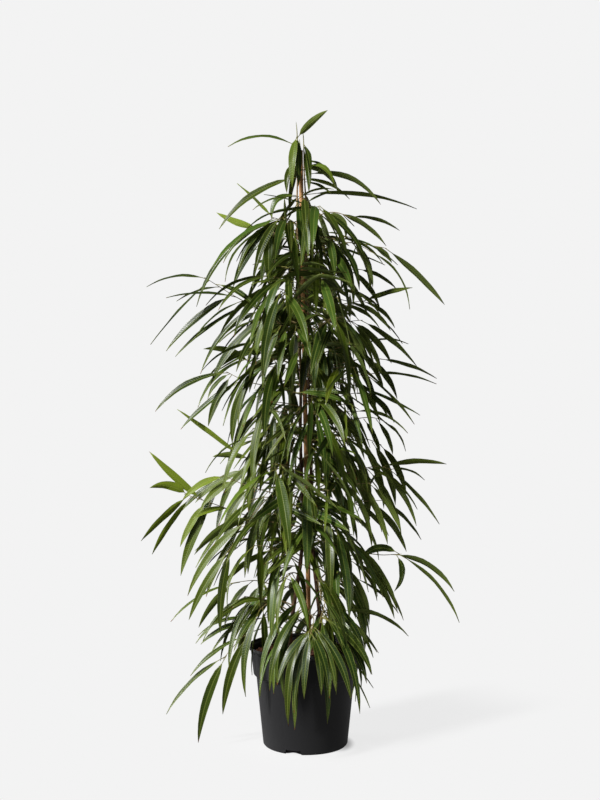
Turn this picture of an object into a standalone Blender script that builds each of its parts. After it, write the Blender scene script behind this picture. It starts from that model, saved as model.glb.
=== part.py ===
"""Potted banana leaf fig: three leafy stems tied to a bamboo cane, in a round nursery pot.

Metres, +Z up. The origin is the centre of the pot's base, on the floor, and -Y is the front.
The stems, their shoots and their leaves are grown first, as plain data. Every leaf takes the
first place in which it touches nothing, so no leaf crosses another. The solids come after.
"""

import math
import random
from collections import namedtuple

import bmesh
import bpy
from mathutils import Quaternion, Vector, noise
from mathutils.bvhtree import BVHTree

MM = 0.001
UP = Vector((0, 0, 1))
SEED = 11
CLEAR = 0.4  # between pieces that touch

# All sizes below are in millimetres

# Pot: radii and heights of its outer skin, from the lip down
POT_WALL = 2.0
POT_STEPS = 30
LIP_RADIUS, POT_HEIGHT, LIP_UNDERSIDE = 105.0, 182.0, 177.0
BAND_TOP_RADIUS, BAND_TOP = 100.8, 174.5
BAND_BOTTOM_RADIUS, BAND_BOTTOM = 95.4, 130.0
WALL_TOP_RADIUS, WALL_TOP = 90.4, 127.0
FOOT_RADIUS, FOOT_CORNER = 77.6, 3.0
FOOT_RING_OUTER, FOOT_RING_INNER = 75.0, 70.5
CHANNEL_OUTER, CHANNEL_INNER, CHANNEL_HEIGHT = 67.0, 56.0, 9.0
BASE_DISC_RADIUS = 50.0
NOTCH_WIDTH, NOTCH_HEIGHT, NOTCH_AZIMUTH, NOTCHES = 32.0, 8.0, -107.0, 3
NOTCH_DEPTH, NOTCH_TAPER = 16.0, 0.84
DRAIN_RADIUS, DRAINS = 3.6, 6

# Soil: a lumpy top, just under the rim
SOIL_TOP, SOIL_EDGE = 168.0, 164.0
SOIL_RINGS = (0.0, 26.0, 52.0, 76.0)
SOIL_PLAY = 0.6  # to the pot
HOLE_SIDES = 12
POT_CLEAR = 5.0  # of the leaves and shoots, to the pot, the soil and the floor
LUMP_HEIGHT, LUMP_SIZE = 4.0, 26.0

# Cane and ties
CANE_RADIUS = 4.2
CANE_FOOT, CANE_HEAD = Vector((10.0, 0.0, 28.0)), Vector((-9.0, 0.0, 1092.0))
CANE_JOINT_SPACING, CANE_JOINT_RADIUS, CANE_JOINT_HALF = 145.0, 4.5, 4.0
TIE_HEIGHTS = (446.0, 674.0, 882.0, 1056.0)
TIE_RADIUS, TIE_PLAY, TIE_POINTS = 1.0, 0.6, 12

# Stems: the side of the cane on which each stands, how far off it leaves the soil, its top
STEMS = {
    "left": {"azimuth": 197.0, "foot_offset": 38.0, "top": 1122.0},
    "right": {"azimuth": -14.0, "foot_offset": 24.0, "top": 1108.0},
    "back": {"azimuth": 92.0, "foot_offset": 32.0, "top": 1092.0},
}
STEM_FOOT = 30.0
STEM_FOOT_RADIUS, STEM_TIP_RADIUS = 4.2, 1.5
STEM_GATHERED = 400.0  # height by which a stem has come in to the cane
STEM_SWAY = 2.6  # outward, halfway between two ties
STEM_STEP = 62.0
BUD = Vector((-2.0, 0.0, 22.0))  # a stem's end bud, from its top
BUD_RADIUS = 0.4

# Shoots and leaves
SHOOT_ROOT_RADIUS, SHOOT_TIP_RADIUS = 2.0, 1.3
SHOOT_POINTS = 4
SHOOT_SHIFT, SHOOT_SHIFTS = 8.0, 5  # in depth, in the search for free room
LEAF_SHIFT, LEAF_SHIFTS = 7.0, 8
LAST_LEAF = 0.965  # share of a shoot at which its end leaf sits, so that its root is sunk
PETIOLE = 0.10  # share of a leaf's length
LEAF_WIDTH = 15.0
LEAF_STALK = 0.8  # least half width
LEAF_PEAK, LEAF_TAPER = 0.62, 1.1  # powers of the outline on its base side and its tip side
LEAF_KEEL = 2.0  # depth of the fold along the midrib
LEAF_EDGE = 0.9  # least depth of a blade
LEAF_STATIONS = (0.17, 0.52)
BOWED_STATIONS = (0.14, 0.42, 0.74)
BOWED = 15.0  # rise above its chord from which a blade has the extra section
LEAF_ROOT = 0.9  # half the width of a blade's root, inside its twig
LEAF_CLEAR = 1.0  # round each leaf and shoot, in the search for free room
LEAF_TURNS = 4  # neighbouring leaves overlap at their roots, so each is joined in a turn of its own

Leaf = namedtuple("Leaf", "base tip arch roll width out")
Shoot = namedtuple("Shoot", "key stem points leaves")
Taken = namedtuple("Taken", "low high tree stem key kind")

# Leaves that grow straight from a stem near its top:
# stem, height of its root, tip (x, y, z), arch, roll in degrees, width
CROWN = [
    ("left", 1114, (40, -12, 1156), 0.06, 55, 13),
    ("left", 1098, (-143, -4, 1098), 0.16, 35, 12),
    ("left", 1118, (-24, -34, 1016), 0.16, 0, 15),
    ("right", 1103, (8, -30, 1038), 0.16, 10, 12),
    ("back", 1080, (-30, 46, 985), 0.12, 10, 14),
    ("back", 1062, (62, 10, 1012), 0.22, 45, 13),
    ("right", 1046, (138, -14, 990), 0.17, 35, 14),
    ("right", 1060, (52, -46, 1018), 0.24, -35, 12),
    ("back", 1040, (83, 32, 1008), 0.12, 25, 11),
    ("right", 1010, (206, 4, 985), 0.07, 30, 13),
    ("left", 1042, (-158, -20, 944), 0.11, 55, 15),
    ("left", 1066, (-34, -40, 1008), 0.22, 20, 13),
    ("left", 1008, (-62, -16, 962), 0.30, 50, 14),
    ("left", 985, (-118, 22, 942), 0.12, 25, 12),
    ("left", 1000, (-4, -58, 872), 0.10, 10, 16),
    ("right", 994, (12, -62, 880), 0.12, -10, 15),
    ("right", 962, (30, -52, 868), 0.14, 15, 12),
    ("back", 1012, (-52, 86, 940), 0.14, 10, 14),
    ("back", 985, (40, 96, 905), 0.14, -10, 15),
]

# Shoots that shape the outline, from the top down:
# stem, height of its root, route (x, z), depth y of its end, depth y of its leaf tips,
# and its leaves, each (how far along, tip x, tip z, arch, roll in degrees, width)
OUTLINE_SHOOTS = [
    ("left", 938, [(-35, 958), (-62, 968)], -14, -20, [
        (1.0, -126, 1032, 0.02, -30, 12), (0.95, -200, 803, 0.12, 50, 15), (0.8, -133, 838, 0.08, 75, 16),
        (0.6, -150, 882, 0.16, 35, 13), (0.4, -60, 840, 0.10, 60, 17)]),
    ("left", 912, [(-50, 938), (-90, 953)], 18, 26, [
        (1.0, -168, 987, -0.04, -70, 14), (0.85, -150, 852, 0.16, 30, 12), (0.6, -98, 838, 0.10, 40, 14)]),
    ("left", 772, [(-62, 792), (-112, 809), (-140, 831), (-186, 858)], -10, -16, [
        (1.0, -292, 840, 0.12, 30, 12), (0.98, -285, 734, 0.03, 20, 12), (0.86, -240, 816, 0.08, 25, 12),
        (0.72, -256, 722, 0.06, 60, 15), (0.66, -252, 817, 0.07, 25, 13), (0.58, -204, 744, 0.10, 20, 11),
        (0.5, -240, 712, 0.06, 35, 14), (0.44, -193, 680, 0.09, 45, 13), (0.34, -178, 722, 0.10, 55, 14),
        (0.24, -175, 658, 0.10, 60, 16)]),
    ("left", 688, [(-60, 693), (-105, 700)], 16, 22, [
        (1.0, -190, 727, 0.12, -70, 14), (0.8, -120, 610, 0.10, 40, 14), (0.5, -92, 600, 0.08, 50, 14)]),
    ("left", 642, [(-45, 652), (-88, 663), (-116, 668), (-145, 684)], -12, -18, [
        (1.0, -274, 611, 0.12, 45, 14), (0.97, -179, 634, 0.12, 35, 12), (0.94, -178, 584, 0.06, 65, 14),
        (0.76, -230, 578, 0.05, 50, 14), (0.72, -134, 552, 0.06, 70, 15), (0.5, -136, 518, 0.05, 50, 14),
        (0.35, -90, 520, 0.08, 40, 14)]),
    ("left", 500, [(-70, 515), (-122, 528)], 10, 16, [
        (1.0, -238, 615, 0.01, -50, 13), (0.85, -172, 527, 0.08, -60, 13), (0.7, -150, 460, 0.05, 70, 14),
        (0.45, -118, 430, 0.08, 50, 14)]),
    ("left", 508, [(-70, 514), (-122, 500), (-160, 476)], 26, 34, [
        (1.0, -197, 392, 0.06, 60, 15), (0.9, -232, 424, 0.08, 50, 14), (0.75, -168, 376, 0.06, 60, 15),
        (0.6, -206, 440, 0.08, 60, 14), (0.5, -136, 392, 0.08, 60, 14), (0.35, -104, 398, 0.08, 50, 14)]),
    ("left", 452, [(-60, 462), (-112, 478), (-150, 496)], -34, -44, [
        (1.0, -222, 452, 0.10, 50, 14), (0.85, -190, 436, 0.08, 60, 15), (0.6, -150, 396, 0.08, 60, 14),
        (0.4, -112, 380, 0.08, 60, 15)]),
    ("left", 398, [(-62, 408), (-130, 424), (-175, 446), (-222, 460)], -16, -24, [
        (1.0, -284, 472, 0.16, -80, 17), (0.99, -300, 375, 0.03, -60, 14), (0.96, -280, 350, 0.04, -50, 13),
        (0.84, -285, 538, -0.02, -75, 15), (0.8, -229, 364, 0.05, 60, 14), (0.76, -228, 311, 0.05, 75, 17),
        (0.6, -206, 414, 0.12, 45, 13), (0.5, -150, 372, 0.08, 50, 14), (0.35, -105, 330, 0.06, 60, 15)]),
    ("left", 470, [(-45, 468), (-75, 446), (-112, 402), (-140, 358)], -44, -58, [
        (1.0, -208, 240, 0.05, 60, 14), (0.97, -152, 216, 0.05, 80, 15), (0.7, -212, 280, 0.09, 60, 15),
        (0.66, -200, 354, 0.10, -70, 15), (0.5, -104, 318, 0.06, 60, 14), (0.36, -84, 330, 0.06, 60, 13)]),
    ("left", 286, [(-60, 292), (-95, 299), (-138, 293)], 8, 14, [
        (1.0, -198, 210, 0.06, -65, 13), (0.9, -250, 221, 0.10, 15, 11), (0.7, -150, 212, 0.10, 50, 14),
        (0.5, -118, 200, 0.12, 45, 14)]),
    ("left", 222, [(-60, 232), (-110, 217)], 24, 34, [
        (1.0, -196, 175, 0.10, 35, 14), (0.85, -201, 192, 0.14, 25, 12), (0.7, -176, 160, 0.14, 30, 12)]),
    ("left", 204, [(-55, 218), (-110, 203), (-150, 161)], -30, -42, [
        (1.0, -252, 64, 0.08, 25, 13), (0.98, -194, 12, 0.06, 75, 16), (0.7, -209, 132, 0.08, 25, 12),
        (0.66, -150, 62, 0.06, 70, 16), (0.55, -136, 76, 0.06, 60, 13), (0.4, -112, 84, 0.08, 60, 14)]),
    ("right", 958, [(32, 974), (58, 976), (82, 966)], -12, -18, [
        (1.0, 172, 942, 0.10, 25, 11), (0.7, 148, 914, 0.09, 40, 13), (0.4, 74, 928, 0.26, 60, 14)]),
    ("right", 896, [(52, 922), (105, 914), (134, 917), (150, 912)], 6, 10, [
        (1.0, 258, 808, 0.04, 40, 14), (0.7, 160, 886, 0.08, 40, 13), (0.5, 120, 838, 0.10, 45, 14)]),
    ("right", 872, [(50, 908), (84, 918), (118, 900)], -42, -52, [
        (1.0, 188, 795, 0.15, 20, 11), (0.7, 122, 836, 0.10, 50, 14), (0.45, 86, 800, 0.10, 60, 14)]),
    ("right", 842, [(60, 868), (100, 876)], 24, 34, [
        (1.0, 172, 838, 0.10, 30, 12), (0.8, 140, 800, 0.10, 40, 13)]),
    ("right", 782, [(60, 806), (112, 815)], -6, -14, [
        (1.0, 196, 838, 0.04, -45, 15), (0.95, 164, 764, 0.12, 35, 12), (0.8, 156, 759, 0.10, 40, 13),
        (0.6, 136, 764, 0.12, 40, 12)]),
    ("right", 742, [(60, 772), (106, 780)], 12, 20, [
        (1.0, 208, 694, 0.06, 40, 14), (0.8, 160, 700, 0.08, 50, 14), (0.55, 120, 690, 0.10, 50, 14)]),
    ("right", 706, [(60, 728), (110, 734)], -26, -34, [
        (1.0, 187, 734, 0.12, 15, 10), (0.8, 142, 652, 0.08, 50, 14)]),
    ("right", 676, [(80, 704), (140, 708)], 4, 8, [
        (1.0, 243, 672, 0.06, 30, 13), (0.85, 170, 634, 0.08, 50, 14), (0.6, 130, 616, 0.08, 50, 14)]),
    ("right", 632, [(60, 668), (120, 680)], -30, -38, [
        (1.0, 234, 661, 0.07, 25, 12), (0.95, 197, 588, 0.05, 25, 12), (0.7, 136, 590, 0.08, 50, 14)]),
    ("right", 604, [(60, 638), (115, 646)], 20, 28, [
        (1.0, 166, 590, 0.10, 45, 14), (0.85, 154, 612, 0.14, 40, 12)]),
    ("right", 552, [(70, 590), (120, 600), (150, 590)], -8, -14, [
        (1.0, 184, 538, 0.12, 25, 12), (0.8, 160, 532, 0.08, 45, 13), (0.6, 138, 520, 0.08, 50, 14)]),
    ("right", 522, [(60, 546), (108, 560), (142, 548)], 22, 30, [
        (1.0, 188, 456, 0.08, 50, 14), (0.85, 168, 436, 0.07, 60, 15), (0.65, 146, 430, 0.08, 50, 15),
        (0.5, 120, 424, 0.08, 60, 15), (0.35, 92, 436, 0.08, 50, 14)]),
    ("right", 448, [(66, 474), (118, 482)], -42, -54, [
        (1.0, 172, 394, 0.08, 50, 15), (0.85, 148, 372, 0.07, 60, 15), (0.65, 120, 366, 0.08, 50, 15),
        (0.45, 94, 372, 0.08, 60, 14)]),
    ("right", 748, [(42, 776), (84, 774)], -46, -62, [
        (1.0, 136, 680, 0.08, 50, 15), (0.85, 112, 660, 0.07, 50, 15), (0.65, 88, 648, 0.08, 40, 15),
        (0.45, 60, 652, 0.08, 40, 15)]),
    ("right", 542, [(36, 566), (72, 564)], -48, -66, [
        (1.0, 112, 468, 0.08, 50, 15), (0.85, 92, 444, 0.07, 50, 16), (0.65, 64, 430, 0.08, 30, 16),
        (0.45, 36, 436, 0.08, 30, 15)]),
    ("right", 462, [(70, 494), (128, 510), (158, 504)], -12, -20, [
        (1.0, 218, 486, 0.14, 25, 11), (0.98, 245, 405, 0.05, 35, 13), (0.8, 258, 515, 0.07, 45, 14),
        (0.78, 203, 402, 0.08, 45, 14), (0.6, 176, 384, 0.08, 50, 14), (0.45, 140, 390, 0.08, 50, 14)]),
    ("right", 412, [(80, 440), (150, 446)], 14, 22, [
        (1.0, 216, 372, 0.06, 30, 13), (0.8, 188, 350, 0.08, 50, 14), (0.6, 155, 380, 0.08, 45, 13)]),
    ("right", 322, [(75, 345), (118, 350), (150, 347), (176, 350)], -14, -22, [
        (1.0, 98, 338, 0.24, 60, 15), (0.98, 281, 226, 0.10, 35, 13), (0.94, 162, 283, 0.20, 70, 14),
        (0.86, 272, 282, 0.14, 50, 14)]),
    ("right", 296, [(60, 330), (100, 340)], 6, 12, [
        (1.0, 182, 224, 0.08, 30, 12), (0.9, 165, 227, 0.10, 45, 14), (0.8, 133, 260, 0.12, 30, 12),
        (0.6, 118, 216, 0.10, 50, 14)]),
    ("right", 232, [(40, 250), (64, 248)], -34, -46, [
        (1.0, 186, 206, 0.14, 45, 14), (0.7, 123, 165, 0.12, 50, 13)]),
    ("right", 204, [(50, 216), (82, 210)], 10, 16, [
        (1.0, 133, 164, 0.10, 20, 11), (0.8, 120, 148, 0.14, 45, 13)]),
    ("left", 196, [(-24, 214), (-14, 222)], -86, -130, [
        (1.0, -19, 66, 0.12, -25, 15), (0.85, -32, 62, 0.12, 15, 13), (0.7, 38, 64, 0.12, 30, 14)]),
    ("left", 224, [(-38, 242), (-48, 244)], -80, -124, [
        (1.0, -80, 114, 0.10, -35, 13), (0.85, -56, 118, 0.12, -30, 13), (0.65, -66, 104, 0.12, 0, 12)]),
    ("right", 198, [(22, 216), (26, 220)], -84, -128, [
        (1.0, 118, 132, 0.06, 40, 16), (0.95, 110, 106, 0.08, 45, 16), (0.85, 42, 118, 0.14, 20, 13),
        (0.65, 6, 104, 0.12, 0, 12)]),
    ("right", 226, [(44, 246), (58, 248)], -76, -116, [
        (1.0, 88, 100, 0.12, 35, 14), (0.8, 58, 110, 0.12, 25, 13), (0.6, 98, 140, 0.12, 30, 13)]),
]

# Shoots by rule, which fill the column: each stem's own fan of azimuths and how many it bears
FANS = {"left": (150.0, 268.0), "right": (-88.0, 28.0), "back": (34.0, 146.0)}
FILL_SHOOTS = {"left": 13, "right": 12, "back": 16}
FILL_BOTTOM, FILL_TOP = 208.0, 985.0
FILL_CORE = 62.0  # a shoot is a share of what its height's reach leaves past this
FILL_SHARE, FILL_LIFT = (0.45, 0.85), (0.15, 0.5)
FILL_LEAVES = (5, 8)
FILL_LEAF_SPAN = 0.78  # share of a shoot that bears its leaves
FILL_LENGTHS, FILL_SLIMNESS = (104.0, 172.0), (0.095, 0.12)  # width by length
FILL_YAW, FILL_DIP, FILL_ROLL = (18.0, 62.0), (34.0, 68.0), 48.0  # degrees
FILL_ARCH = (0.07, 0.16)
FILL_TURN, FILL_TURNS = 9.0, 4  # in azimuth, in the search for free room
GOLDEN = 0.61803
TRIES = 12
TIE_BERTH = 9.0  # of a shoot's root

# Reach of the leaf tips at each height: height, radius
REACH_PLAY = 14.0
REACH = [(0, 150), (200, 195), (400, 215), (650, 205), (850, 175), (960, 130), (1050, 90), (1160, 40)]


def smooth_path(points, count):
    """Points evenly spread by number along a Catmull-Rom curve through the given ones."""
    ends = [points[0] * 2 - points[1], *points, points[-1] * 2 - points[-2]]
    spans = len(points) - 1
    path = []
    for i in range(count):
        place = i / (count - 1) * spans
        k = min(int(place), spans - 1)
        t = place - k
        a, b, c, d = ends[k : k + 4]
        path.append((b * 2 + (c - a) * t + (a * 2 - b * 5 + c * 4 - d) * t**2
                     + (b * 3 - a - c * 3 + d) * t**3) / 2)
    return path


def along(path, share):
    place = share * (len(path) - 1)
    k = min(int(place), len(path) - 2)
    return path[k].lerp(path[k + 1], place - k)


def between(table, height):
    """The value at this height in a table of (height, value)."""
    for (low, first), (high, second) in zip(table, table[1:]):
        if height <= high:
            return first + (second - first) * max(0.0, height - low) / (high - low)
    return table[-1][1]


def around(azimuth):
    return Vector((math.cos(math.radians(azimuth)), math.sin(math.radians(azimuth)), 0))


def cane_point(height):
    return CANE_FOOT.lerp(CANE_HEAD, (height - CANE_FOOT.z) / (CANE_HEAD.z - CANE_FOOT.z))


def stem_radius(name, height):
    share = max(0.0, (height - SOIL_TOP) / (STEMS[name]["top"] - SOIL_TOP))
    return STEM_FOOT_RADIUS + (STEM_TIP_RADIUS - STEM_FOOT_RADIUS) * share


def stem_point(name, height):
    """Upright in the soil, then in to the cane, and bowed out a little between its ties."""
    stem = STEMS[name]
    level = max(height, SOIL_TOP)
    share = min(1.0, (level - SOIL_TOP) / (STEM_GATHERED - SOIL_TOP))
    tight = CANE_RADIUS + stem_radius(name, level) + CLEAR
    offset = tight + (stem["foot_offset"] - tight) * (1 - share) ** 2 * (1 + 2 * share)
    for low, high in zip(TIE_HEIGHTS, TIE_HEIGHTS[1:]):
        if low < level < high:
            offset += STEM_SWAY * math.sin(math.pi * (level - low) / (high - low)) ** 2
    point = cane_point(level) + around(stem["azimuth"]) * offset
    point.z = height
    return point


def spine_controls(leaf):
    chord = leaf.tip - leaf.base
    rise = UP - chord * UP.dot(chord) / chord.length_squared
    if rise.length < 0.25:
        rise = rise + leaf.out * 0.5
        rise -= chord * rise.dot(chord) / chord.length_squared
    rise = rise.normalized() * leaf.arch * chord.length * 4 / 3
    return leaf.base, leaf.base + chord / 3 + rise, leaf.base + chord * 2 / 3 + rise, leaf.tip


def leaf_frame(leaf, share):
    """A leaf's point, sideways direction and upper side's normal, a share of the way to its tip."""
    a, b, c, d = spine_controls(leaf)
    s, t = share, 1 - share
    point = a * t**3 + b * 3 * t * t * s + c * 3 * t * s * s + d * s**3
    tangent = ((b - a) * t * t + (c - b) * 2 * t * s + (d - c) * s * s).normalized()
    level = (d - a).cross(b + c - a - d)
    if level.dot((d - a).cross(UP)) * leaf.arch < 0 and abs(leaf.arch) > 0:
        level = -level
    if leaf.arch < 0:
        level = -level
    side = level.normalized()
    normal = side.cross(tangent)
    turn = math.radians(leaf.roll)
    return (point, side * math.cos(turn) + normal * math.sin(turn),
            normal * math.cos(turn) - side * math.sin(turn))


def half_width(leaf, share):
    """Half the blade's width: narrow petiole, widest past a third of the blade, long drawn tip."""
    blade = (share - PETIOLE) / (1 - PETIOLE)
    if blade <= 0 or blade >= 1:
        return LEAF_STALK
    peak = LEAF_PEAK / (LEAF_PEAK + LEAF_TAPER)
    most = peak**LEAF_PEAK * (1 - peak) ** LEAF_TAPER
    return max(LEAF_STALK, leaf.width / 2 * blade**LEAF_PEAK * (1 - blade) ** LEAF_TAPER / most)


def blade_sections(leaf):
    """The sections of a leaf's solid: each its point, and its left, right and keel corners from it."""
    bow = (leaf.tip - leaf.base).length * abs(leaf.arch)
    sections = []
    for share in BOWED_STATIONS if bow > BOWED else LEAF_STATIONS:
        point, side, normal = leaf_frame(leaf, share)
        half = half_width(leaf, share)
        keel = LEAF_EDGE + LEAF_KEEL * half / (LEAF_WIDTH / 2)
        sections.append((point, (-side * half, side * half, -normal * keel)))
    corners = sections[0][1]
    scale = LEAF_ROOT / corners[1].length
    sections.insert(0, (leaf.base, [corner * scale for corner in corners]))
    return sections


def skin(rings):
    """A search tree of the surface through rings of corners, and its corners."""
    count = len(rings[0])
    corners = [corner for ring in rings for corner in ring]
    faces = []
    for k in range(0, len(corners) - count, count):
        for j in range(count):
            near, beside = k + j, k + (j + 1) % count
            faces += [(near, beside, beside + count), (near, beside + count, near + count)]
    return corners, BVHTree.FromPolygons(corners, faces)


def path_sleeve(points, radius):
    """A six-sided tube round a path, for the search for free room."""
    rings = []
    for i, point in enumerate(points):
        ahead = (points[min(i + 1, len(points) - 1)] - points[max(i - 1, 0)]).normalized()
        first = ahead.orthogonal().normalized()
        rings.append([point + Quaternion(ahead, math.tau * k / 6) @ first * radius for k in range(6)])
    return skin(rings)


def leaf_sleeve(leaf, margin, start=0):
    """A surface this far outside a leaf's solid, from one of its sections to its tip."""
    sections = blade_sections(leaf)[start:]
    sections.append((leaf.tip, [corner * 0.1 for corner in sections[-1][1]]))
    rings = []
    for point, (left, right, keel) in sections:
        ring = (left, -keel * 0.01, right, keel)
        rings.append([point + corner + corner.normalized() * margin for corner in ring])
    return skin(rings)


def box_of(corners):
    return ([min(c[i] for c in corners) for i in range(3)],
            [max(c[i] for c in corners) for i in range(3)])


class Room:
    """What already fills the space, each piece with its box, its search tree and whose it is."""

    def __init__(self):
        self.taken = []

    def add(self, corners, tree, stem, key, kind):
        self.taken.append(Taken(*box_of(corners), tree, stem, key, kind))

    def free(self, corners, tree, skip=lambda taken: False):
        low, high = box_of(corners)
        for taken in self.taken:
            apart = any(low[i] > taken.high[i] or high[i] < taken.low[i] for i in range(3))
            if not apart and not skip(taken) and tree.overlap(taken.tree):
                return False
        return True


POT_PROFILE = [
    (LIP_RADIUS, POT_HEIGHT), (LIP_RADIUS, LIP_UNDERSIDE), (BAND_TOP_RADIUS, BAND_TOP),
    (BAND_BOTTOM_RADIUS, BAND_BOTTOM), (WALL_TOP_RADIUS, WALL_TOP), (FOOT_RADIUS, FOOT_CORNER),
    (FOOT_RING_OUTER, 0.0), (FOOT_RING_INNER, 0.0), (CHANNEL_OUTER, CHANNEL_HEIGHT),
    (CHANNEL_INNER, CHANNEL_HEIGHT), (BASE_DISC_RADIUS, 0.0), (0.0, 0.0)]


def pot_radius(height):
    outer = sorted((z, r) for r, z in POT_PROFILE[:6])
    return between([(0.0, FOOT_RADIUS), *outer], height)


def inset(profile, distance):
    """The profile moved inward, with mitred corners, without its two ends."""
    lines = []
    for start, end in zip(profile, profile[1:]):
        run = (Vector(end) - Vector(start)).normalized()
        lines.append((Vector(start) + Vector((run.y, -run.x)) * distance, run))
    corners = []
    for (start, run), (other, other_run) in zip(lines, lines[1:]):
        share = (other - start).cross(other_run) / run.cross(other_run)
        corners.append(tuple(start + run * share))
    return corners


def pot_sleeve():
    """A surface a little outside the pot and above its soil, for the search for free room."""
    outside, inside = LIP_RADIUS + POT_CLEAR, LIP_RADIUS - POT_WALL - POT_CLEAR
    above, below = POT_HEIGHT + POT_CLEAR, LIP_UNDERSIDE - POT_CLEAR
    top = SOIL_TOP + LUMP_HEIGHT + POT_CLEAR
    outline = [(MM, top), (inside, top), (inside, above), (outside, above), (outside, below),
               (BAND_BOTTOM_RADIUS + POT_CLEAR, WALL_TOP), (FOOT_RADIUS + POT_CLEAR, 0.0)]
    return skin([[around(360 * j / POT_STEPS) * radius + UP * height for j in range(POT_STEPS)]
                 for radius, height in outline])


def above_floor(corners):
    return min(corner.z for corner in corners) > POT_CLEAR


def grow_leaf(room, shoot, options):
    """Adds the first of the optional leaves that has free room, if one has."""
    for leaf in options:
        whole = leaf_sleeve(leaf, LEAF_CLEAR)
        blade = leaf_sleeve(leaf, LEAF_CLEAR, 1)
        if not above_floor(whole[0]):
            continue
        if not room.free(*whole, lambda taken: taken.key == shoot.key):
            continue
        if not room.free(*blade, lambda taken: taken.key != shoot.key or taken.kind != "blade"):
            continue
        room.add(*whole, shoot.stem, shoot.key, "whole leaf")
        room.add(*blade, shoot.stem, shoot.key, "blade")
        shoot.leaves.append(leaf)
        return


def grow_shoot(room, stem, routes):
    """Adds a shoot along the first of the optional routes that has free room."""
    for route in routes:
        points = smooth_path(route, SHOOT_POINTS)
        whole = path_sleeve(points, SHOOT_ROOT_RADIUS + LEAF_CLEAR)
        outer = path_sleeve(points[1:], SHOOT_ROOT_RADIUS + 2 * LEAF_CLEAR)
        if room.free(*whole, lambda taken: taken.stem == stem) and room.free(*outer):
            key = len(room.taken)
            room.add(*whole, stem, key, "twig")
            return Shoot(key, stem, points, [])
    return None


def spread(step, count):
    """0, then further and further to either side."""
    return [0.0] + [sign * step * k for k in range(1, count) for sign in (1, -1)]


def outline_shoot(room, stem, height, route, depth, tip_depth, leaves):
    root = stem_point(stem, height)
    routes = []
    for shift in spread(SHOOT_SHIFT, SHOOT_SHIFTS):
        run = [root]
        for i, (x, z) in enumerate(route):
            share = (i + 1) / len(route)
            run.append(Vector((x, root.y + (depth + shift - root.y) * share, z)))
        routes.append(run)
    shoot = grow_shoot(room, stem, routes)
    if shoot is None:
        return None
    for share, x, z, arch, roll, width in leaves:
        base = along(shoot.points, share * LAST_LEAF)
        options = [Leaf(base, Vector((x, base.y + tip_depth - depth + shift, z)), arch, roll, width,
                        Vector((x, tip_depth, 0)).normalized())
                   for shift in spread(LEAF_SHIFT, LEAF_SHIFTS)]
        grow_leaf(room, shoot, options)
    return shoot


def crown_leaf(room, shoots, stem, height, tip, arch, roll, width):
    base = stem_point(stem, height)
    out = Vector((tip[0], tip[1], 0)) - Vector((base.x, base.y, 0))
    options = [Leaf(base, Vector(tip) + Vector((0, shift, 0)), arch, roll, width, out.normalized())
               for shift in spread(LEAF_SHIFT, LEAF_SHIFTS)]
    grow_leaf(room, shoots[stem], options)


def fill_shoot(room, stem, index, count):
    """One shoot of the rule: its azimuth steps by the golden section across its stem's fan."""
    draw = random.Random(SEED * 1000 + sorted(STEMS).index(stem) * 100 + index)
    low, high = FANS[stem]
    azimuth = low + (high - low) * ((index * GOLDEN + 0.3) % 1)
    height = FILL_BOTTOM + (FILL_TOP - FILL_BOTTOM) * (index + draw.uniform(0.1, 0.9)) / count
    height += 1.5 * TIE_BERTH * any(abs(height - tie) < TIE_BERTH for tie in TIE_HEIGHTS)
    sideways = abs(around(azimuth).x)  # the outline shoots already reach far out there
    length = (between(REACH, height) - FILL_CORE) * draw.uniform(*FILL_SHARE)
    length *= 1.12 - 0.3 * sideways
    root = stem_point(stem, height)
    routes = []
    for turn in spread(FILL_TURN, FILL_TURNS):
        heading = around(azimuth + turn)
        lift = draw.uniform(*FILL_LIFT)
        routes.append([root, root + heading * length * 0.5 + UP * length * lift * 0.6,
                       root + heading * length + UP * length * lift * 0.8])
    shoot = grow_shoot(room, stem, routes)
    if shoot is None:
        return None
    heading = shoot.points[-1] - shoot.points[0]
    bearing = math.degrees(math.atan2(heading.y, heading.x))
    number = draw.randint(*FILL_LEAVES)
    for k in range(number):
        base = along(shoot.points, LAST_LEAF * (1.0 - FILL_LEAF_SPAN * k / number))
        side = (1 if k % 2 else -1) * (0.25 if k == 0 else 1)
        options = []
        for attempt in range(TRIES):
            size = draw.uniform(*FILL_LENGTHS) * (1 - 0.02 * attempt)
            yaw = bearing + side * draw.uniform(*FILL_YAW) * (1 + 0.06 * attempt)
            dip = math.radians(draw.uniform(*FILL_DIP))
            out = around(yaw)
            tip = base + out * size * math.cos(dip) - UP * size * math.sin(dip)
            if math.hypot(tip.x, tip.y) > between(REACH, tip.z) + REACH_PLAY:
                continue
            options.append(Leaf(base, tip, draw.uniform(*FILL_ARCH), draw.uniform(-FILL_ROLL, FILL_ROLL),
                                size * draw.uniform(*FILL_SLIMNESS), out))
        grow_leaf(room, shoot, options)
    return shoot


def grow_plant():
    """The stems with the crown's leaves, and every shoot with its own."""
    room = Room()
    room.add(*path_sleeve([CANE_FOOT, CANE_HEAD], CANE_RADIUS + LEAF_CLEAR), None, None, "cane")
    room.add(*pot_sleeve(), None, None, "pot")
    shoots = {}
    for name, stem in STEMS.items():
        path = [stem_point(name, h) for h in spaced(STEM_FOOT, stem["top"], STEM_STEP)]
        path.append(path[-1] + BUD)
        shoots[name] = Shoot(name, name, path, [])
        room.add(*path_sleeve(path, STEM_FOOT_RADIUS), name, name, "stem")
    for row in CROWN:
        crown_leaf(room, shoots, *row)
    grown = [outline_shoot(room, *row) for row in OUTLINE_SHOOTS]
    for index in range(max(FILL_SHOOTS.values())):
        for name, count in FILL_SHOOTS.items():
            if index < count:
                grown.append(fill_shoot(room, name, index, count))
    return shoots, [shoot for shoot in grown if shoot and shoot.leaves]


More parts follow.
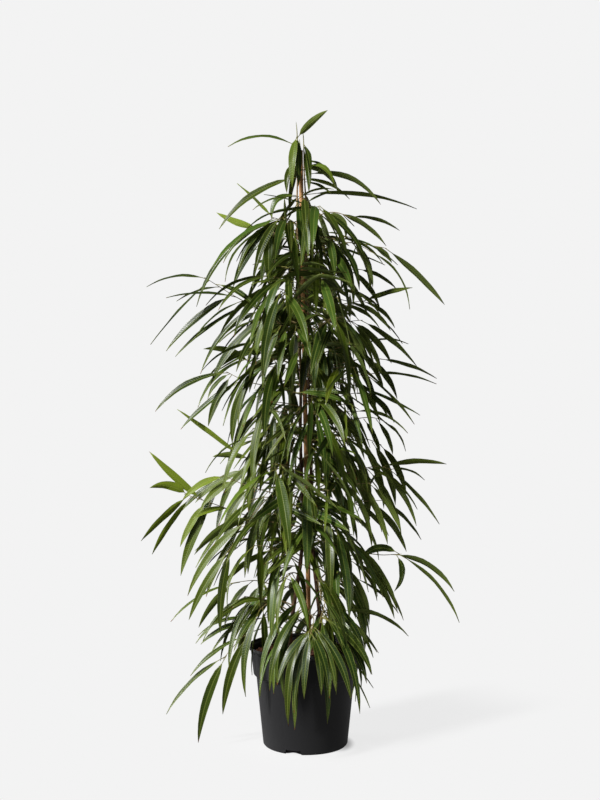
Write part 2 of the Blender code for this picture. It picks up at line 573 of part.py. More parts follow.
def spaced(low, high, step):
    count = round((high - low) / step)
    return [low + (high - low) * i / count for i in range(count + 1)]


# The solids


def clear_scene():
    for obj in list(bpy.data.objects):
        bpy.data.objects.remove(obj)


def new_collection(name):
    group = bpy.data.collections.new(name)
    bpy.context.scene.collection.children.link(group)
    return group


def new_material(name, color, roughness):
    material = bpy.data.materials.new(name)
    material.use_nodes = True
    shader = material.node_tree.nodes["Principled BSDF"]
    shader.inputs["Base Color"].default_value = (*color, 1)
    shader.inputs["Roughness"].default_value = roughness
    shader.inputs["Metallic"].default_value = 0.0
    return material


def link(obj, group, material=None):
    group.objects.link(obj)
    if material:
        obj.data.materials.append(material)
    return obj


def turned(name, profile, steps, group, material=None):
    """A profile of (radius, height) in millimetres, run from its top down its outer side."""
    mesh = bpy.data.meshes.new(name)
    corners = [(r * MM, 0, z * MM) for r, z in profile]
    mesh.from_pydata(corners, [(i, i + 1) for i in range(len(corners) - 1)], [])
    obj = link(bpy.data.objects.new(name, mesh), group, material)
    screw = obj.modifiers.new("Turn", "SCREW")
    screw.steps = screw.render_steps = steps
    screw.use_merge_vertices = True
    screw.merge_threshold = 1e-5
    return obj


def rod(name, runs, sides_level, group, material=None, cyclic=False):
    """Round bars along paths of (point, radius) in millimetres, all in one curve object."""
    curve = bpy.data.curves.new(name, "CURVE")
    curve.dimensions = "3D"
    curve.bevel_depth = MM
    curve.bevel_resolution = sides_level
    curve.use_fill_caps = True
    for run in runs:
        spline = curve.splines.new("POLY")
        spline.points.add(len(run) - 1)
        spline.use_cyclic_u = cyclic
        for corner, (point, radius) in zip(spline.points, run):
            corner.co = (*(point * MM), 1)
            corner.radius = radius
    return link(bpy.data.objects.new(name, curve), group, material)


def as_mesh(obj, group):
    """The curve as a closed mesh, in place of the curve."""
    evaluated = obj.evaluated_get(bpy.context.evaluated_depsgraph_get())
    mesh = bpy.data.meshes.new_from_object(evaluated)
    name, matrix = obj.name, obj.matrix_world.copy()
    bpy.data.objects.remove(obj)
    shape = bmesh.new()
    shape.from_mesh(mesh)
    bmesh.ops.remove_doubles(shape, verts=shape.verts, dist=1e-6)
    bmesh.ops.recalc_face_normals(shape, faces=shape.faces)
    shape.to_mesh(mesh)
    shape.free()
    made = link(bpy.data.objects.new(name, mesh), group)
    made.matrix_world = matrix
    return made


def boolean(obj, operation, group, solver="EXACT"):
    modifier = obj.modifiers.new(operation.title(), "BOOLEAN")
    modifier.operation = operation
    modifier.operand_type = "COLLECTION"
    modifier.collection = group
    modifier.solver = solver
    return modifier


def shade(obj, degrees=40):
    obj.data.shade_smooth()
    obj.data.set_sharp_from_angle(angle=math.radians(degrees))


def build_pot(group, cutters, plastic):
    pot = turned("pot", POT_PROFILE, POT_STEPS, group, plastic)
    wall = pot.modifiers.new("Wall", "SOLIDIFY")
    wall.thickness = POT_WALL * MM
    wall.offset = -1
    wall.use_even_offset = True
    openings = bpy.data.collections.new("pot_openings")
    cutters.children.link(openings)
    for i in range(NOTCHES):
        cut_notch(NOTCH_AZIMUTH + 360 / NOTCHES * i, openings)
    for i in range(DRAINS):
        cut_drain(NOTCH_AZIMUTH + 360 / DRAINS * (i + 0.5), openings)
    boolean(pot, "DIFFERENCE", openings)


def hide(cutter):
    cutter.hide_render = True
    cutter.display_type = "WIRE"


def cut_notch(azimuth, group):
    """An opening through the foot, from outside into the channel under the base."""
    shape = bmesh.new()
    bmesh.ops.create_cube(shape, size=1)
    for vert in shape.verts:
        vert.co.x *= NOTCH_DEPTH * MM
        vert.co.y *= NOTCH_WIDTH * MM * (NOTCH_TAPER if vert.co.z > 0 else 1.0)
        vert.co.z = (NOTCH_HEIGHT if vert.co.z > 0 else -NOTCH_HEIGHT / 2) * MM
    mesh = bpy.data.meshes.new("notch")
    shape.to_mesh(mesh)
    shape.free()
    cutter = link(bpy.data.objects.new("notch_cutter", mesh), group)
    cutter.location = around(azimuth) * FOOT_RADIUS * MM
    cutter.rotation_euler.z = math.radians(azimuth)
    hide(cutter)


def cut_drain(azimuth, group):
    """A round drain hole up through the roof of the channel."""
    middle = (CHANNEL_INNER + CHANNEL_OUTER) / 2
    low = around(azimuth) * middle + UP * (CHANNEL_HEIGHT - 2 * POT_WALL)
    high = low + UP * 5 * POT_WALL
    hide(as_mesh(rod("drain_cutter", [[(low, DRAIN_RADIUS), (high, DRAIN_RADIUS)]], 2, group), group))


def build_soil(group, cutters, bark):
    inside = inset(POT_PROFILE, POT_WALL + SOIL_PLAY)
    floor = CHANNEL_HEIGHT + POT_WALL + SOIL_PLAY
    profile = [(r, SOIL_TOP) for r in SOIL_RINGS]
    profile.append((pot_radius(SOIL_EDGE) - POT_WALL - SOIL_PLAY, SOIL_EDGE))
    profile += inside[2:4]
    profile.append((pot_radius(floor) - POT_WALL - SOIL_PLAY * 1.5, floor))
    profile += inside[8:]
    profile.append((0.0, POT_WALL + SOIL_PLAY))
    soil = as_mesh(turned("soil", profile, POT_STEPS, group), group)
    soil.data.materials.append(bark)
    for vert in soil.data.vertices:
        if vert.co.z > SOIL_EDGE * MM + 1e-6:
            vert.co.z += LUMP_HEIGHT * MM * noise.noise(vert.co / (LUMP_SIZE * MM))
    holes = bpy.data.collections.new("soil_holes")
    cutters.children.link(holes)
    for name in STEMS:
        foot = stem_point(name, STEM_FOOT)
        cut_hole(name, foot, foot + UP, STEM_FOOT_RADIUS, holes)
    cut_hole("cane", CANE_FOOT, CANE_HEAD, CANE_RADIUS, holes)
    boolean(soil, "DIFFERENCE", holes)
    shade(soil)


def cut_hole(name, foot, head, radius, group):
    """A plain hole in the soil, on the line from foot to head, round what stands in it."""
    ahead = (head - foot).normalized()
    wide = (radius + CLEAR) / math.cos(math.pi / HOLE_SIDES)
    run = [(foot - ahead * 5 * CLEAR, wide), (foot + ahead * POT_HEIGHT, wide)]
    hide(as_mesh(rod(f"{name}_hole_cutter", [run], HOLE_SIDES // 2 - 2, group), group))


def build_cane(group, bamboo):
    """A straight cane with a low ring at each joint."""
    run = [(CANE_FOOT, CANE_RADIUS)]
    for height in spaced(SOIL_TOP, CANE_HEAD.z, CANE_JOINT_SPACING)[1:-1]:
        run.append((cane_point(height - CANE_JOINT_HALF), CANE_RADIUS))
        run.append((cane_point(height), CANE_JOINT_RADIUS))
        run.append((cane_point(height + CANE_JOINT_HALF), CANE_RADIUS))
    run.append((CANE_HEAD, CANE_RADIUS))
    rod("cane", [run], 1, group, bamboo)


def build_tie(index, height, group, plastic):
    """A ring drawn round the cane and the stems, a tie's radius outside their outline."""
    members = [(cane_point(height), CANE_RADIUS)]
    members += [(stem_point(name, height), stem_radius(name, height)) for name in STEMS]
    run = []
    for i in range(TIE_POINTS):
        facing = around(360 * i / TIE_POINTS)
        centre, radius = max(members, key=lambda m: m[0].dot(facing) + m[1])
        run.append((centre + facing * (radius + TIE_PLAY + TIE_RADIUS), TIE_RADIUS))
    rod(f"tie_{index + 1}", [run], 0, group, plastic, cyclic=True)


def add_blade(shape, leaf):
    """A closed three-sided blade, flat above and keeled below, its root sunk in its twig."""
    rings = [[shape.verts.new((point + corner) * MM) for corner in corners]
             for point, corners in blade_sections(leaf)]
    tip = shape.verts.new(leaf.tip * MM)
    shape.faces.new(reversed(rings[0]))
    for near, far in zip(rings, rings[1:]):
        for i, j in ((0, 1), (1, 2), (2, 0)):
            if near is rings[0]:
                shape.faces.new((near[i], near[j], far[j], far[i]))
            else:
                shape.faces.new((near[i], near[j], far[i]))
                shape.faces.new((near[j], far[j], far[i]))
    for i, j in ((0, 1), (1, 2), (2, 0)):
        shape.faces.new((rings[-1][i], rings[-1][j], tip))


def build_leafy_stem(name, stem_shoot, shoots, group, cutters, leaf_green):
    """One stem with its shoots, leaves and end bud, joined into one solid."""
    repeats = bpy.data.collections.new(f"{name}_repeats")
    cutters.children.link(repeats)
    run = [(point, stem_radius(name, point.z)) for point in stem_shoot.points[:-1]]
    run.append((stem_shoot.points[-1], BUD_RADIUS))
    trunk = as_mesh(rod(f"stem_{name}", [run], 1, group), group)
    twigs = []
    for shoot in shoots:
        count = len(shoot.points) - 1
        twigs.append([(point, SHOOT_ROOT_RADIUS + (SHOOT_TIP_RADIUS - SHOOT_ROOT_RADIUS) * i / count)
                      for i, point in enumerate(shoot.points)])
    as_mesh(rod(f"{name}_twigs", twigs, 0, repeats), repeats)
    for k in range(LEAF_TURNS):
        shape = bmesh.new()
        for shoot in [stem_shoot, *shoots]:
            for leaf in shoot.leaves[k::LEAF_TURNS]:
                add_blade(shape, leaf)
        mesh = bpy.data.meshes.new(f"{name}_leaves_{k}")
        shape.to_mesh(mesh)
        shape.free()
        link(bpy.data.objects.new(mesh.name, mesh), repeats)
    boolean(trunk, "UNION", repeats, "MANIFOLD")
    joined = bpy.data.meshes.new_from_object(
        trunk.evaluated_get(bpy.context.evaluated_depsgraph_get()))
    trunk.modifiers.clear()
    trunk.data = joined
    trunk.data.materials.clear()
    trunk.data.materials.append(leaf_green)
    for helper in list(repeats.objects):
        bpy.data.objects.remove(helper)
    shade(trunk, 30)


def main():
    clear_scene()
    group = new_collection("potted_banana_leaf_fig")
    cutters = new_collection("cutters")
    plastic = new_material("pot_plastic", (0.028, 0.028, 0.031), 0.45)
    bark = new_material("soil_bark", (0.10, 0.045, 0.025), 0.95)
    bamboo = new_material("cane_bamboo", (0.42, 0.22, 0.10), 0.6)
    tie_plastic = new_material("tie_plastic", (0.02, 0.03, 0.02), 0.6)
    leaf_green = new_material("leaf", (0.035, 0.075, 0.022), 0.4)
    build_pot(group, cutters, plastic)
    build_soil(group, cutters, bark)
    build_cane(group, bamboo)
    for index, height in enumerate(TIE_HEIGHTS):
        build_tie(index, height, group, tie_plastic)
    stem_shoots, shoots = grow_plant()
    for name in STEMS:
        own = [shoot for shoot in shoots if shoot.stem == name]
        build_leafy_stem(name, stem_shoots[name], own, group, cutters, leaf_green)
        leaves = sum(len(shoot.leaves) for shoot in [stem_shoots[name], *own])
        print(f"{name} stem: {len(own)} shoots, {leaves} leaves")


main()
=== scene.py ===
import math
import random
from collections import namedtuple

import bmesh
import bpy
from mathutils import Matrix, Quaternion, Vector, noise
from mathutils.bvhtree import BVHTree


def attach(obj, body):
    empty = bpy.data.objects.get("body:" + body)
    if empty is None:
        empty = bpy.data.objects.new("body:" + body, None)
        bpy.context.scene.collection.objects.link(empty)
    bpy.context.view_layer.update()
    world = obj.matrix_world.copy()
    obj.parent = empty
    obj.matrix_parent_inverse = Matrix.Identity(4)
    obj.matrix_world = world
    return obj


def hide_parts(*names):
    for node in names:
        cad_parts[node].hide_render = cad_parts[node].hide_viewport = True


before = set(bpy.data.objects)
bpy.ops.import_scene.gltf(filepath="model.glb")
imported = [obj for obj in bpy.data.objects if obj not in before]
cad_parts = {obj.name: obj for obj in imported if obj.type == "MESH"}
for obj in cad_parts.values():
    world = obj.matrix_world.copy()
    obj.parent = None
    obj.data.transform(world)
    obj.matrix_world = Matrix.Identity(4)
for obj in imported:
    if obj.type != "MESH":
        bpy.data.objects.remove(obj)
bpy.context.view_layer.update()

# Potted banana leaf fig. The plant is laid out in millimetres, as a grower would measure it, and
# every mesh is in metres. The cane, the stems and the leaves of the solids are laid out first, by
# the rule and the rows that placed them there, and the finer foliage is added round them.

mm = 0.001
upward = Vector((0, 0, 1))
layoutSeed = 11
play = 0.4  # between pieces that touch, in mm
tiny = 0.001  # near enough to nothing, in mm

print("frame loaded:", len(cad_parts), "nodes")


# Helpers for paths and tables

def smoothPath(points, count):
    ends = [points[0] * 2 - points[1], *points, points[-1] * 2 - points[-2]]
    spans = len(points) - 1
    path = []
    for i in range(count):
        place = i / (count - 1) * spans
        k = min(int(place), spans - 1)
        t = place - k
        a, b, c, d = ends[k:k + 4]
        path.append((b * 2 + (c - a) * t + (a * 2 - b * 5 + c * 4 - d) * t**2
                     + (b * 3 - a - c * 3 + d) * t**3) / 2)
    return path


def alongPath(path, share):
    place = share * (len(path) - 1)
    k = min(int(place), len(path) - 2)
    return path[k].lerp(path[k + 1], place - k)


def tableValue(table, height):
    for (low, first), (high, second) in zip(table, table[1:]):
        if height <= high:
            return first + (second - first) * max(0.0, height - low) / (high - low)
    return table[-1][1]


def facing(azimuth):
    return Vector((math.cos(math.radians(azimuth)), math.sin(math.radians(azimuth)), 0))


def spaced(low, high, step):
    count = round((high - low) / step)
    return [low + (high - low) * i / count for i in range(count + 1)]


def bothWays(step, count):
    return [0.0] + [sign * step * k for k in range(1, count) for sign in (1, -1)]


def easeStep(value, low, high):
    t = min(1.0, max(0.0, (value - low) / (high - low)))
    return t * t * (3 - 2 * t)


# Pot sizes, in mm

potSizes = {
    "wall": 2.0,
    "lipRadius": 105.0, "height": 182.0, "lipUnderside": 177.0,
    "bandTopRadius": 100.8, "bandTop": 174.5,
    "bandBottomRadius": 95.4, "bandBottom": 130.0,
    "wallTopRadius": 90.4, "wallTop": 127.0,
    "footRadius": 77.6, "footCorner": 3.0,
    "ringOuter": 75.0, "ringInner": 70.5,
    "channelOuter": 67.0, "channelInner": 56.0, "channelHeight": 9.0,
    "discRadius": 50.0,
    "notchWidth": 32.0, "notchHeight": 8.0, "notchDepth": 16.0, "notchAzimuth": -107.0, "notches": 3,
    "drainRadius": 3.6, "drains": 6,
    "steps": 144, "cornerSteps": 4,
    "layoutSteps": 30,  # sides of the pot's solid
}
soilSizes = {"top": 168.0, "lump": 4.0, "lumpSize": 26.0}

potOutline = [
    (potSizes["lipRadius"], potSizes["height"]), (potSizes["lipRadius"], potSizes["lipUnderside"]),
    (potSizes["bandTopRadius"], potSizes["bandTop"]),
    (potSizes["bandBottomRadius"], potSizes["bandBottom"]),
    (potSizes["wallTopRadius"], potSizes["wallTop"]), (potSizes["footRadius"], potSizes["footCorner"]),
    (potSizes["ringOuter"], 0.0), (potSizes["ringInner"], 0.0),
    (potSizes["channelOuter"], potSizes["channelHeight"]),
    (potSizes["channelInner"], potSizes["channelHeight"]), (potSizes["discRadius"], 0.0), (0.0, 0.0)]


# Cane and stems, in mm

caneSizes = {"foot": Vector((10.0, 0.0, 28.0)), "head": Vector((-9.0, 0.0, 1092.0)), "radius": 4.2}
tieSizes = {"heights": (446.0, 674.0, 882.0, 1056.0), "play": 0.6, "berth": 9.0}
stemPlan = {
    "left": {"azimuth": 197.0, "footOffset": 38.0, "top": 1122.0},
    "right": {"azimuth": -14.0, "footOffset": 24.0, "top": 1108.0},
    "back": {"azimuth": 92.0, "footOffset": 32.0, "top": 1092.0},
}
stemSizes = {
    "foot": 30.0, "footRadius": 4.2, "tipRadius": 1.5, "gathered": 400.0, "sway": 2.6, "step": 62.0,
    "bud": Vector((-2.0, 0.0, 22.0)),
}


def canePoint(height):
    foot, head = caneSizes["foot"], caneSizes["head"]
    return foot.lerp(head, (height - foot.z) / (head.z - foot.z))


def stemRadius(name, height):
    share = max(0.0, (height - soilSizes["top"]) / (stemPlan[name]["top"] - soilSizes["top"]))
    return stemSizes["footRadius"] + (stemSizes["tipRadius"] - stemSizes["footRadius"]) * share


def stemPoint(name, height):
    stem = stemPlan[name]
    level = max(height, soilSizes["top"])
    share = min(1.0, (level - soilSizes["top"]) / (stemSizes["gathered"] - soilSizes["top"]))
    tight = caneSizes["radius"] + stemRadius(name, level) + play
    offset = tight + (stem["footOffset"] - tight) * (1 - share) ** 2 * (1 + 2 * share)
    for low, high in zip(tieSizes["heights"], tieSizes["heights"][1:]):
        if low < level < high:
            offset += stemSizes["sway"] * math.sin(math.pi * (level - low) / (high - low)) ** 2
    point = canePoint(level) + facing(stem["azimuth"]) * offset
    point.z = height
    return point


# Leaves: a leaf's spine is one bow from its base to its tip, and its blade is turned about it

Leaf = namedtuple("Leaf", "base tip arch roll width out")
Shoot = namedtuple("Shoot", "key stem points leaves")
Taken = namedtuple("Taken", "low high tree stem key kind")

shootSizes = {"rootRadius": 2.0, "tipRadius": 1.3, "points": 4, "shift": 8.0, "shifts": 5}
leafSizes = {
    "lastPlace": 0.965, "petiole": 0.10, "width": 15.0, "stalk": 0.8, "peak": 0.62, "taper": 1.1,
    "keel": 2.0, "edge": 0.9, "places": (0.17, 0.52), "bowedPlaces": (0.14, 0.42, 0.74),
    "bowed": 15.0, "root": 0.9, "clear": 1.0, "shift": 7.0, "shifts": 8, "potClear": 5.0,
    "steep": 0.25, "steepLean": 0.5,
}


def spineControls(leaf):
    chord = leaf.tip - leaf.base
    rise = upward - chord * upward.dot(chord) / chord.length_squared
    if rise.length < leafSizes["steep"]:
        rise = rise + leaf.out * leafSizes["steepLean"]
        rise -= chord * rise.dot(chord) / chord.length_squared
    rise = rise.normalized() * leaf.arch * chord.length * 4 / 3
    return leaf.base, leaf.base + chord / 3 + rise, leaf.base + chord * 2 / 3 + rise, leaf.tip


def leafSide(leaf):
    a, b, c, d = spineControls(leaf)
    level = (d - a).cross(b + c - a - d)
    if level.dot((d - a).cross(upward)) * leaf.arch < 0 and abs(leaf.arch) > 0:
        level = -level
    if leaf.arch < 0:
        level = -level
    return level.normalized()


def leafFrame(leaf, share):
    a, b, c, d = spineControls(leaf)
    s, t = share, 1 - share
    point = a * t**3 + b * 3 * t * t * s + c * 3 * t * s * s + d * s**3
    tangent = ((b - a) * t * t + (c - b) * 2 * t * s + (d - c) * s * s).normalized()
    side = leafSide(leaf)
    normal = side.cross(tangent)
    turn = math.radians(leaf.roll)
    return (point, side * math.cos(turn) + normal * math.sin(turn),
            normal * math.cos(turn) - side * math.sin(turn))


def halfWidth(leaf, share):
    blade = (share - leafSizes["petiole"]) / (1 - leafSizes["petiole"])
    if blade <= 0 or blade >= 1:
        return leafSizes["stalk"]
    peak, taper = leafSizes["peak"], leafSizes["taper"]
    widest = peak / (peak + taper)
    most = widest**peak * (1 - widest) ** taper
    return max(leafSizes["stalk"], leaf.width / 2 * blade**peak * (1 - blade) ** taper / most)


def bladeSections(leaf):
    bow = (leaf.tip - leaf.base).length * abs(leaf.arch)
    sections = []
    for share in leafSizes["bowedPlaces"] if bow > leafSizes["bowed"] else leafSizes["places"]:
        point, side, normal = leafFrame(leaf, share)
        half = halfWidth(leaf, share)
        keel = leafSizes["edge"] + leafSizes["keel"] * half / (leafSizes["width"] / 2)
        sections.append((point, (-side * half, side * half, -normal * keel)))
    corners = sections[0][1]
    scale = leafSizes["root"] / corners[1].length
    sections.insert(0, (leaf.base, [corner * scale for corner in corners]))
    return sections


# Free room: each leaf takes the first place in which it touches nothing

def skinOf(rings):
    count = len(rings[0])
    corners = [corner for ring in rings for corner in ring]
    faces = []
    for k in range(0, len(corners) - count, count):
        for j in range(count):
            near, beside = k + j, k + (j + 1) % count
            faces += [(near, beside, beside + count), (near, beside + count, near + count)]
    return corners, BVHTree.FromPolygons(corners, faces)


def pathSleeve(points, radius):
    rings = []
    for i, point in enumerate(points):
        ahead = (points[min(i + 1, len(points) - 1)] - points[max(i - 1, 0)]).normalized()
        first = ahead.orthogonal().normalized()
        rings.append([point + Quaternion(ahead, math.tau * k / 6) @ first * radius for k in range(6)])
    return skinOf(rings)


def leafSleeve(leaf, margin, start=0):
    sections = bladeSections(leaf)[start:]
    sections.append((leaf.tip, [corner * 0.1 for corner in sections[-1][1]]))
    rings = []
    for point, (left, right, keel) in sections:
        ring = (left, -keel * 0.01, right, keel)
        rings.append([point + corner + corner.normalized() * margin for corner in ring])
    return skinOf(rings)


def boxOf(corners):
    return ([min(c[i] for c in corners) for i in range(3)],
            [max(c[i] for c in corners) for i in range(3)])


class Room:
    levelHeight = 30.0

    def __init__(self):
        self.count = 0
        self.levels = {}

    def drop(self, kind):
        for level in self.levels.values():
            for number in [n for n, taken in level.items() if taken.kind == kind]:
                del level[number]

    def levelsOf(self, low, high):
        return range(int(low[2] // self.levelHeight), int(high[2] // self.levelHeight) + 1)

    def add(self, corners, tree, stem, key, kind):
        low, high = boxOf(corners)
        for level in self.levelsOf(low, high):
            self.levels.setdefault(level, {})[self.count] = Taken(low, high, tree, stem, key, kind)
        self.count += 1

    def free(self, corners, tree, skip=lambda taken: False):
        (lowX, lowY, lowZ), (highX, highY, highZ) = boxOf(corners)
        seen = set()
        for level in self.levelsOf((0, 0, lowZ), (0, 0, highZ)):
            for number, taken in self.levels.get(level, {}).items():
                low, high = taken.low, taken.high
                if (lowX > high[0] or highX < low[0] or lowY > high[1] or highY < low[1]
                        or lowZ > high[2] or highZ < low[2] or number in seen):
                    continue
                seen.add(number)
                if not skip(taken) and tree.overlap(taken.tree):
                    return False
        return True


def potSleeve(clear):
    outside, inside = potSizes["lipRadius"] + clear, potSizes["lipRadius"] - potSizes["wall"] - clear
    above, below = potSizes["height"] + clear, potSizes["lipUnderside"] - clear
    top = soilSizes["top"] + soilSizes["lump"] + clear
    outline = [(tiny, top), (inside, top), (inside, above), (outside, above), (outside, below),
               (potSizes["bandBottomRadius"] + clear, potSizes["wallTop"]),
               (potSizes["footRadius"] + clear, 0.0)]
    steps = potSizes["layoutSteps"]
    return skinOf([[facing(360 * j / steps) * radius + upward * height for j in range(steps)]
                   for radius, height in outline])


def growLeaf(room, shoot, options, clear=leafSizes["clear"]):
    for leaf in options:
        whole = leafSleeve(leaf, clear)
        blade = leafSleeve(leaf, clear, 1)
        if min(corner.z for corner in whole[0]) <= leafSizes["potClear"]:
            continue
        if not room.free(*whole, lambda taken: taken.key == shoot.key):
            continue
        if not room.free(*blade, lambda taken: taken.key != shoot.key or taken.kind != "blade"):
            continue
        room.add(*whole, shoot.stem, shoot.key, "whole leaf")
        room.add(*blade, shoot.stem, shoot.key, "blade")
        shoot.leaves.append(leaf)
        return


def growShoot(room, stem, routes, clear=leafSizes["clear"]):
    for route in routes:
        points = smoothPath(route, shootSizes["points"])
        whole = pathSleeve(points, shootSizes["rootRadius"] + clear)
        outer = pathSleeve(points[1:], shootSizes["rootRadius"] + 2 * clear)
        if room.free(*whole, lambda taken: taken.stem == stem) and room.free(*outer):
            key = room.count
            room.add(*whole, stem, key, "twig")
            return Shoot(key, stem, points, [])
    return None


# Leaves that grow straight from a stem near its top:
# stem, height of its root, tip (x, y, z), arch, roll in degrees, width
crownLeaves = [
    ("left", 1114, (40, -12, 1156), 0.06, 55, 13), ("left", 1098, (-143, -4, 1098), 0.16, 35, 12),
    ("left", 1118, (-24, -34, 1016), 0.16, 0, 15), ("right", 1103, (8, -30, 1038), 0.16, 10, 12),
    ("back", 1080, (-30, 46, 985), 0.12, 10, 14), ("back", 1062, (62, 10, 1012), 0.22, 45, 13),
    ("right", 1046, (138, -14, 990), 0.17, 35, 14), ("right", 1060, (52, -46, 1018), 0.24, -35, 12),
    ("back", 1040, (83, 32, 1008), 0.12, 25, 11), ("right", 1010, (206, 4, 985), 0.07, 30, 13),
    ("left", 1042, (-158, -20, 944), 0.11, 55, 15), ("left", 1066, (-34, -40, 1008), 0.22, 20, 13),
    ("left", 1008, (-62, -16, 962), 0.3, 50, 14), ("left", 985, (-118, 22, 942), 0.12, 25, 12),
    ("left", 1000, (-4, -58, 872), 0.1, 10, 16), ("right", 994, (12, -62, 880), 0.12, -10, 15),
    ("right", 962, (30, -52, 868), 0.14, 15, 12), ("back", 1012, (-52, 86, 940), 0.14, 10, 14),
    ("back", 985, (40, 96, 905), 0.14, -10, 15),
]

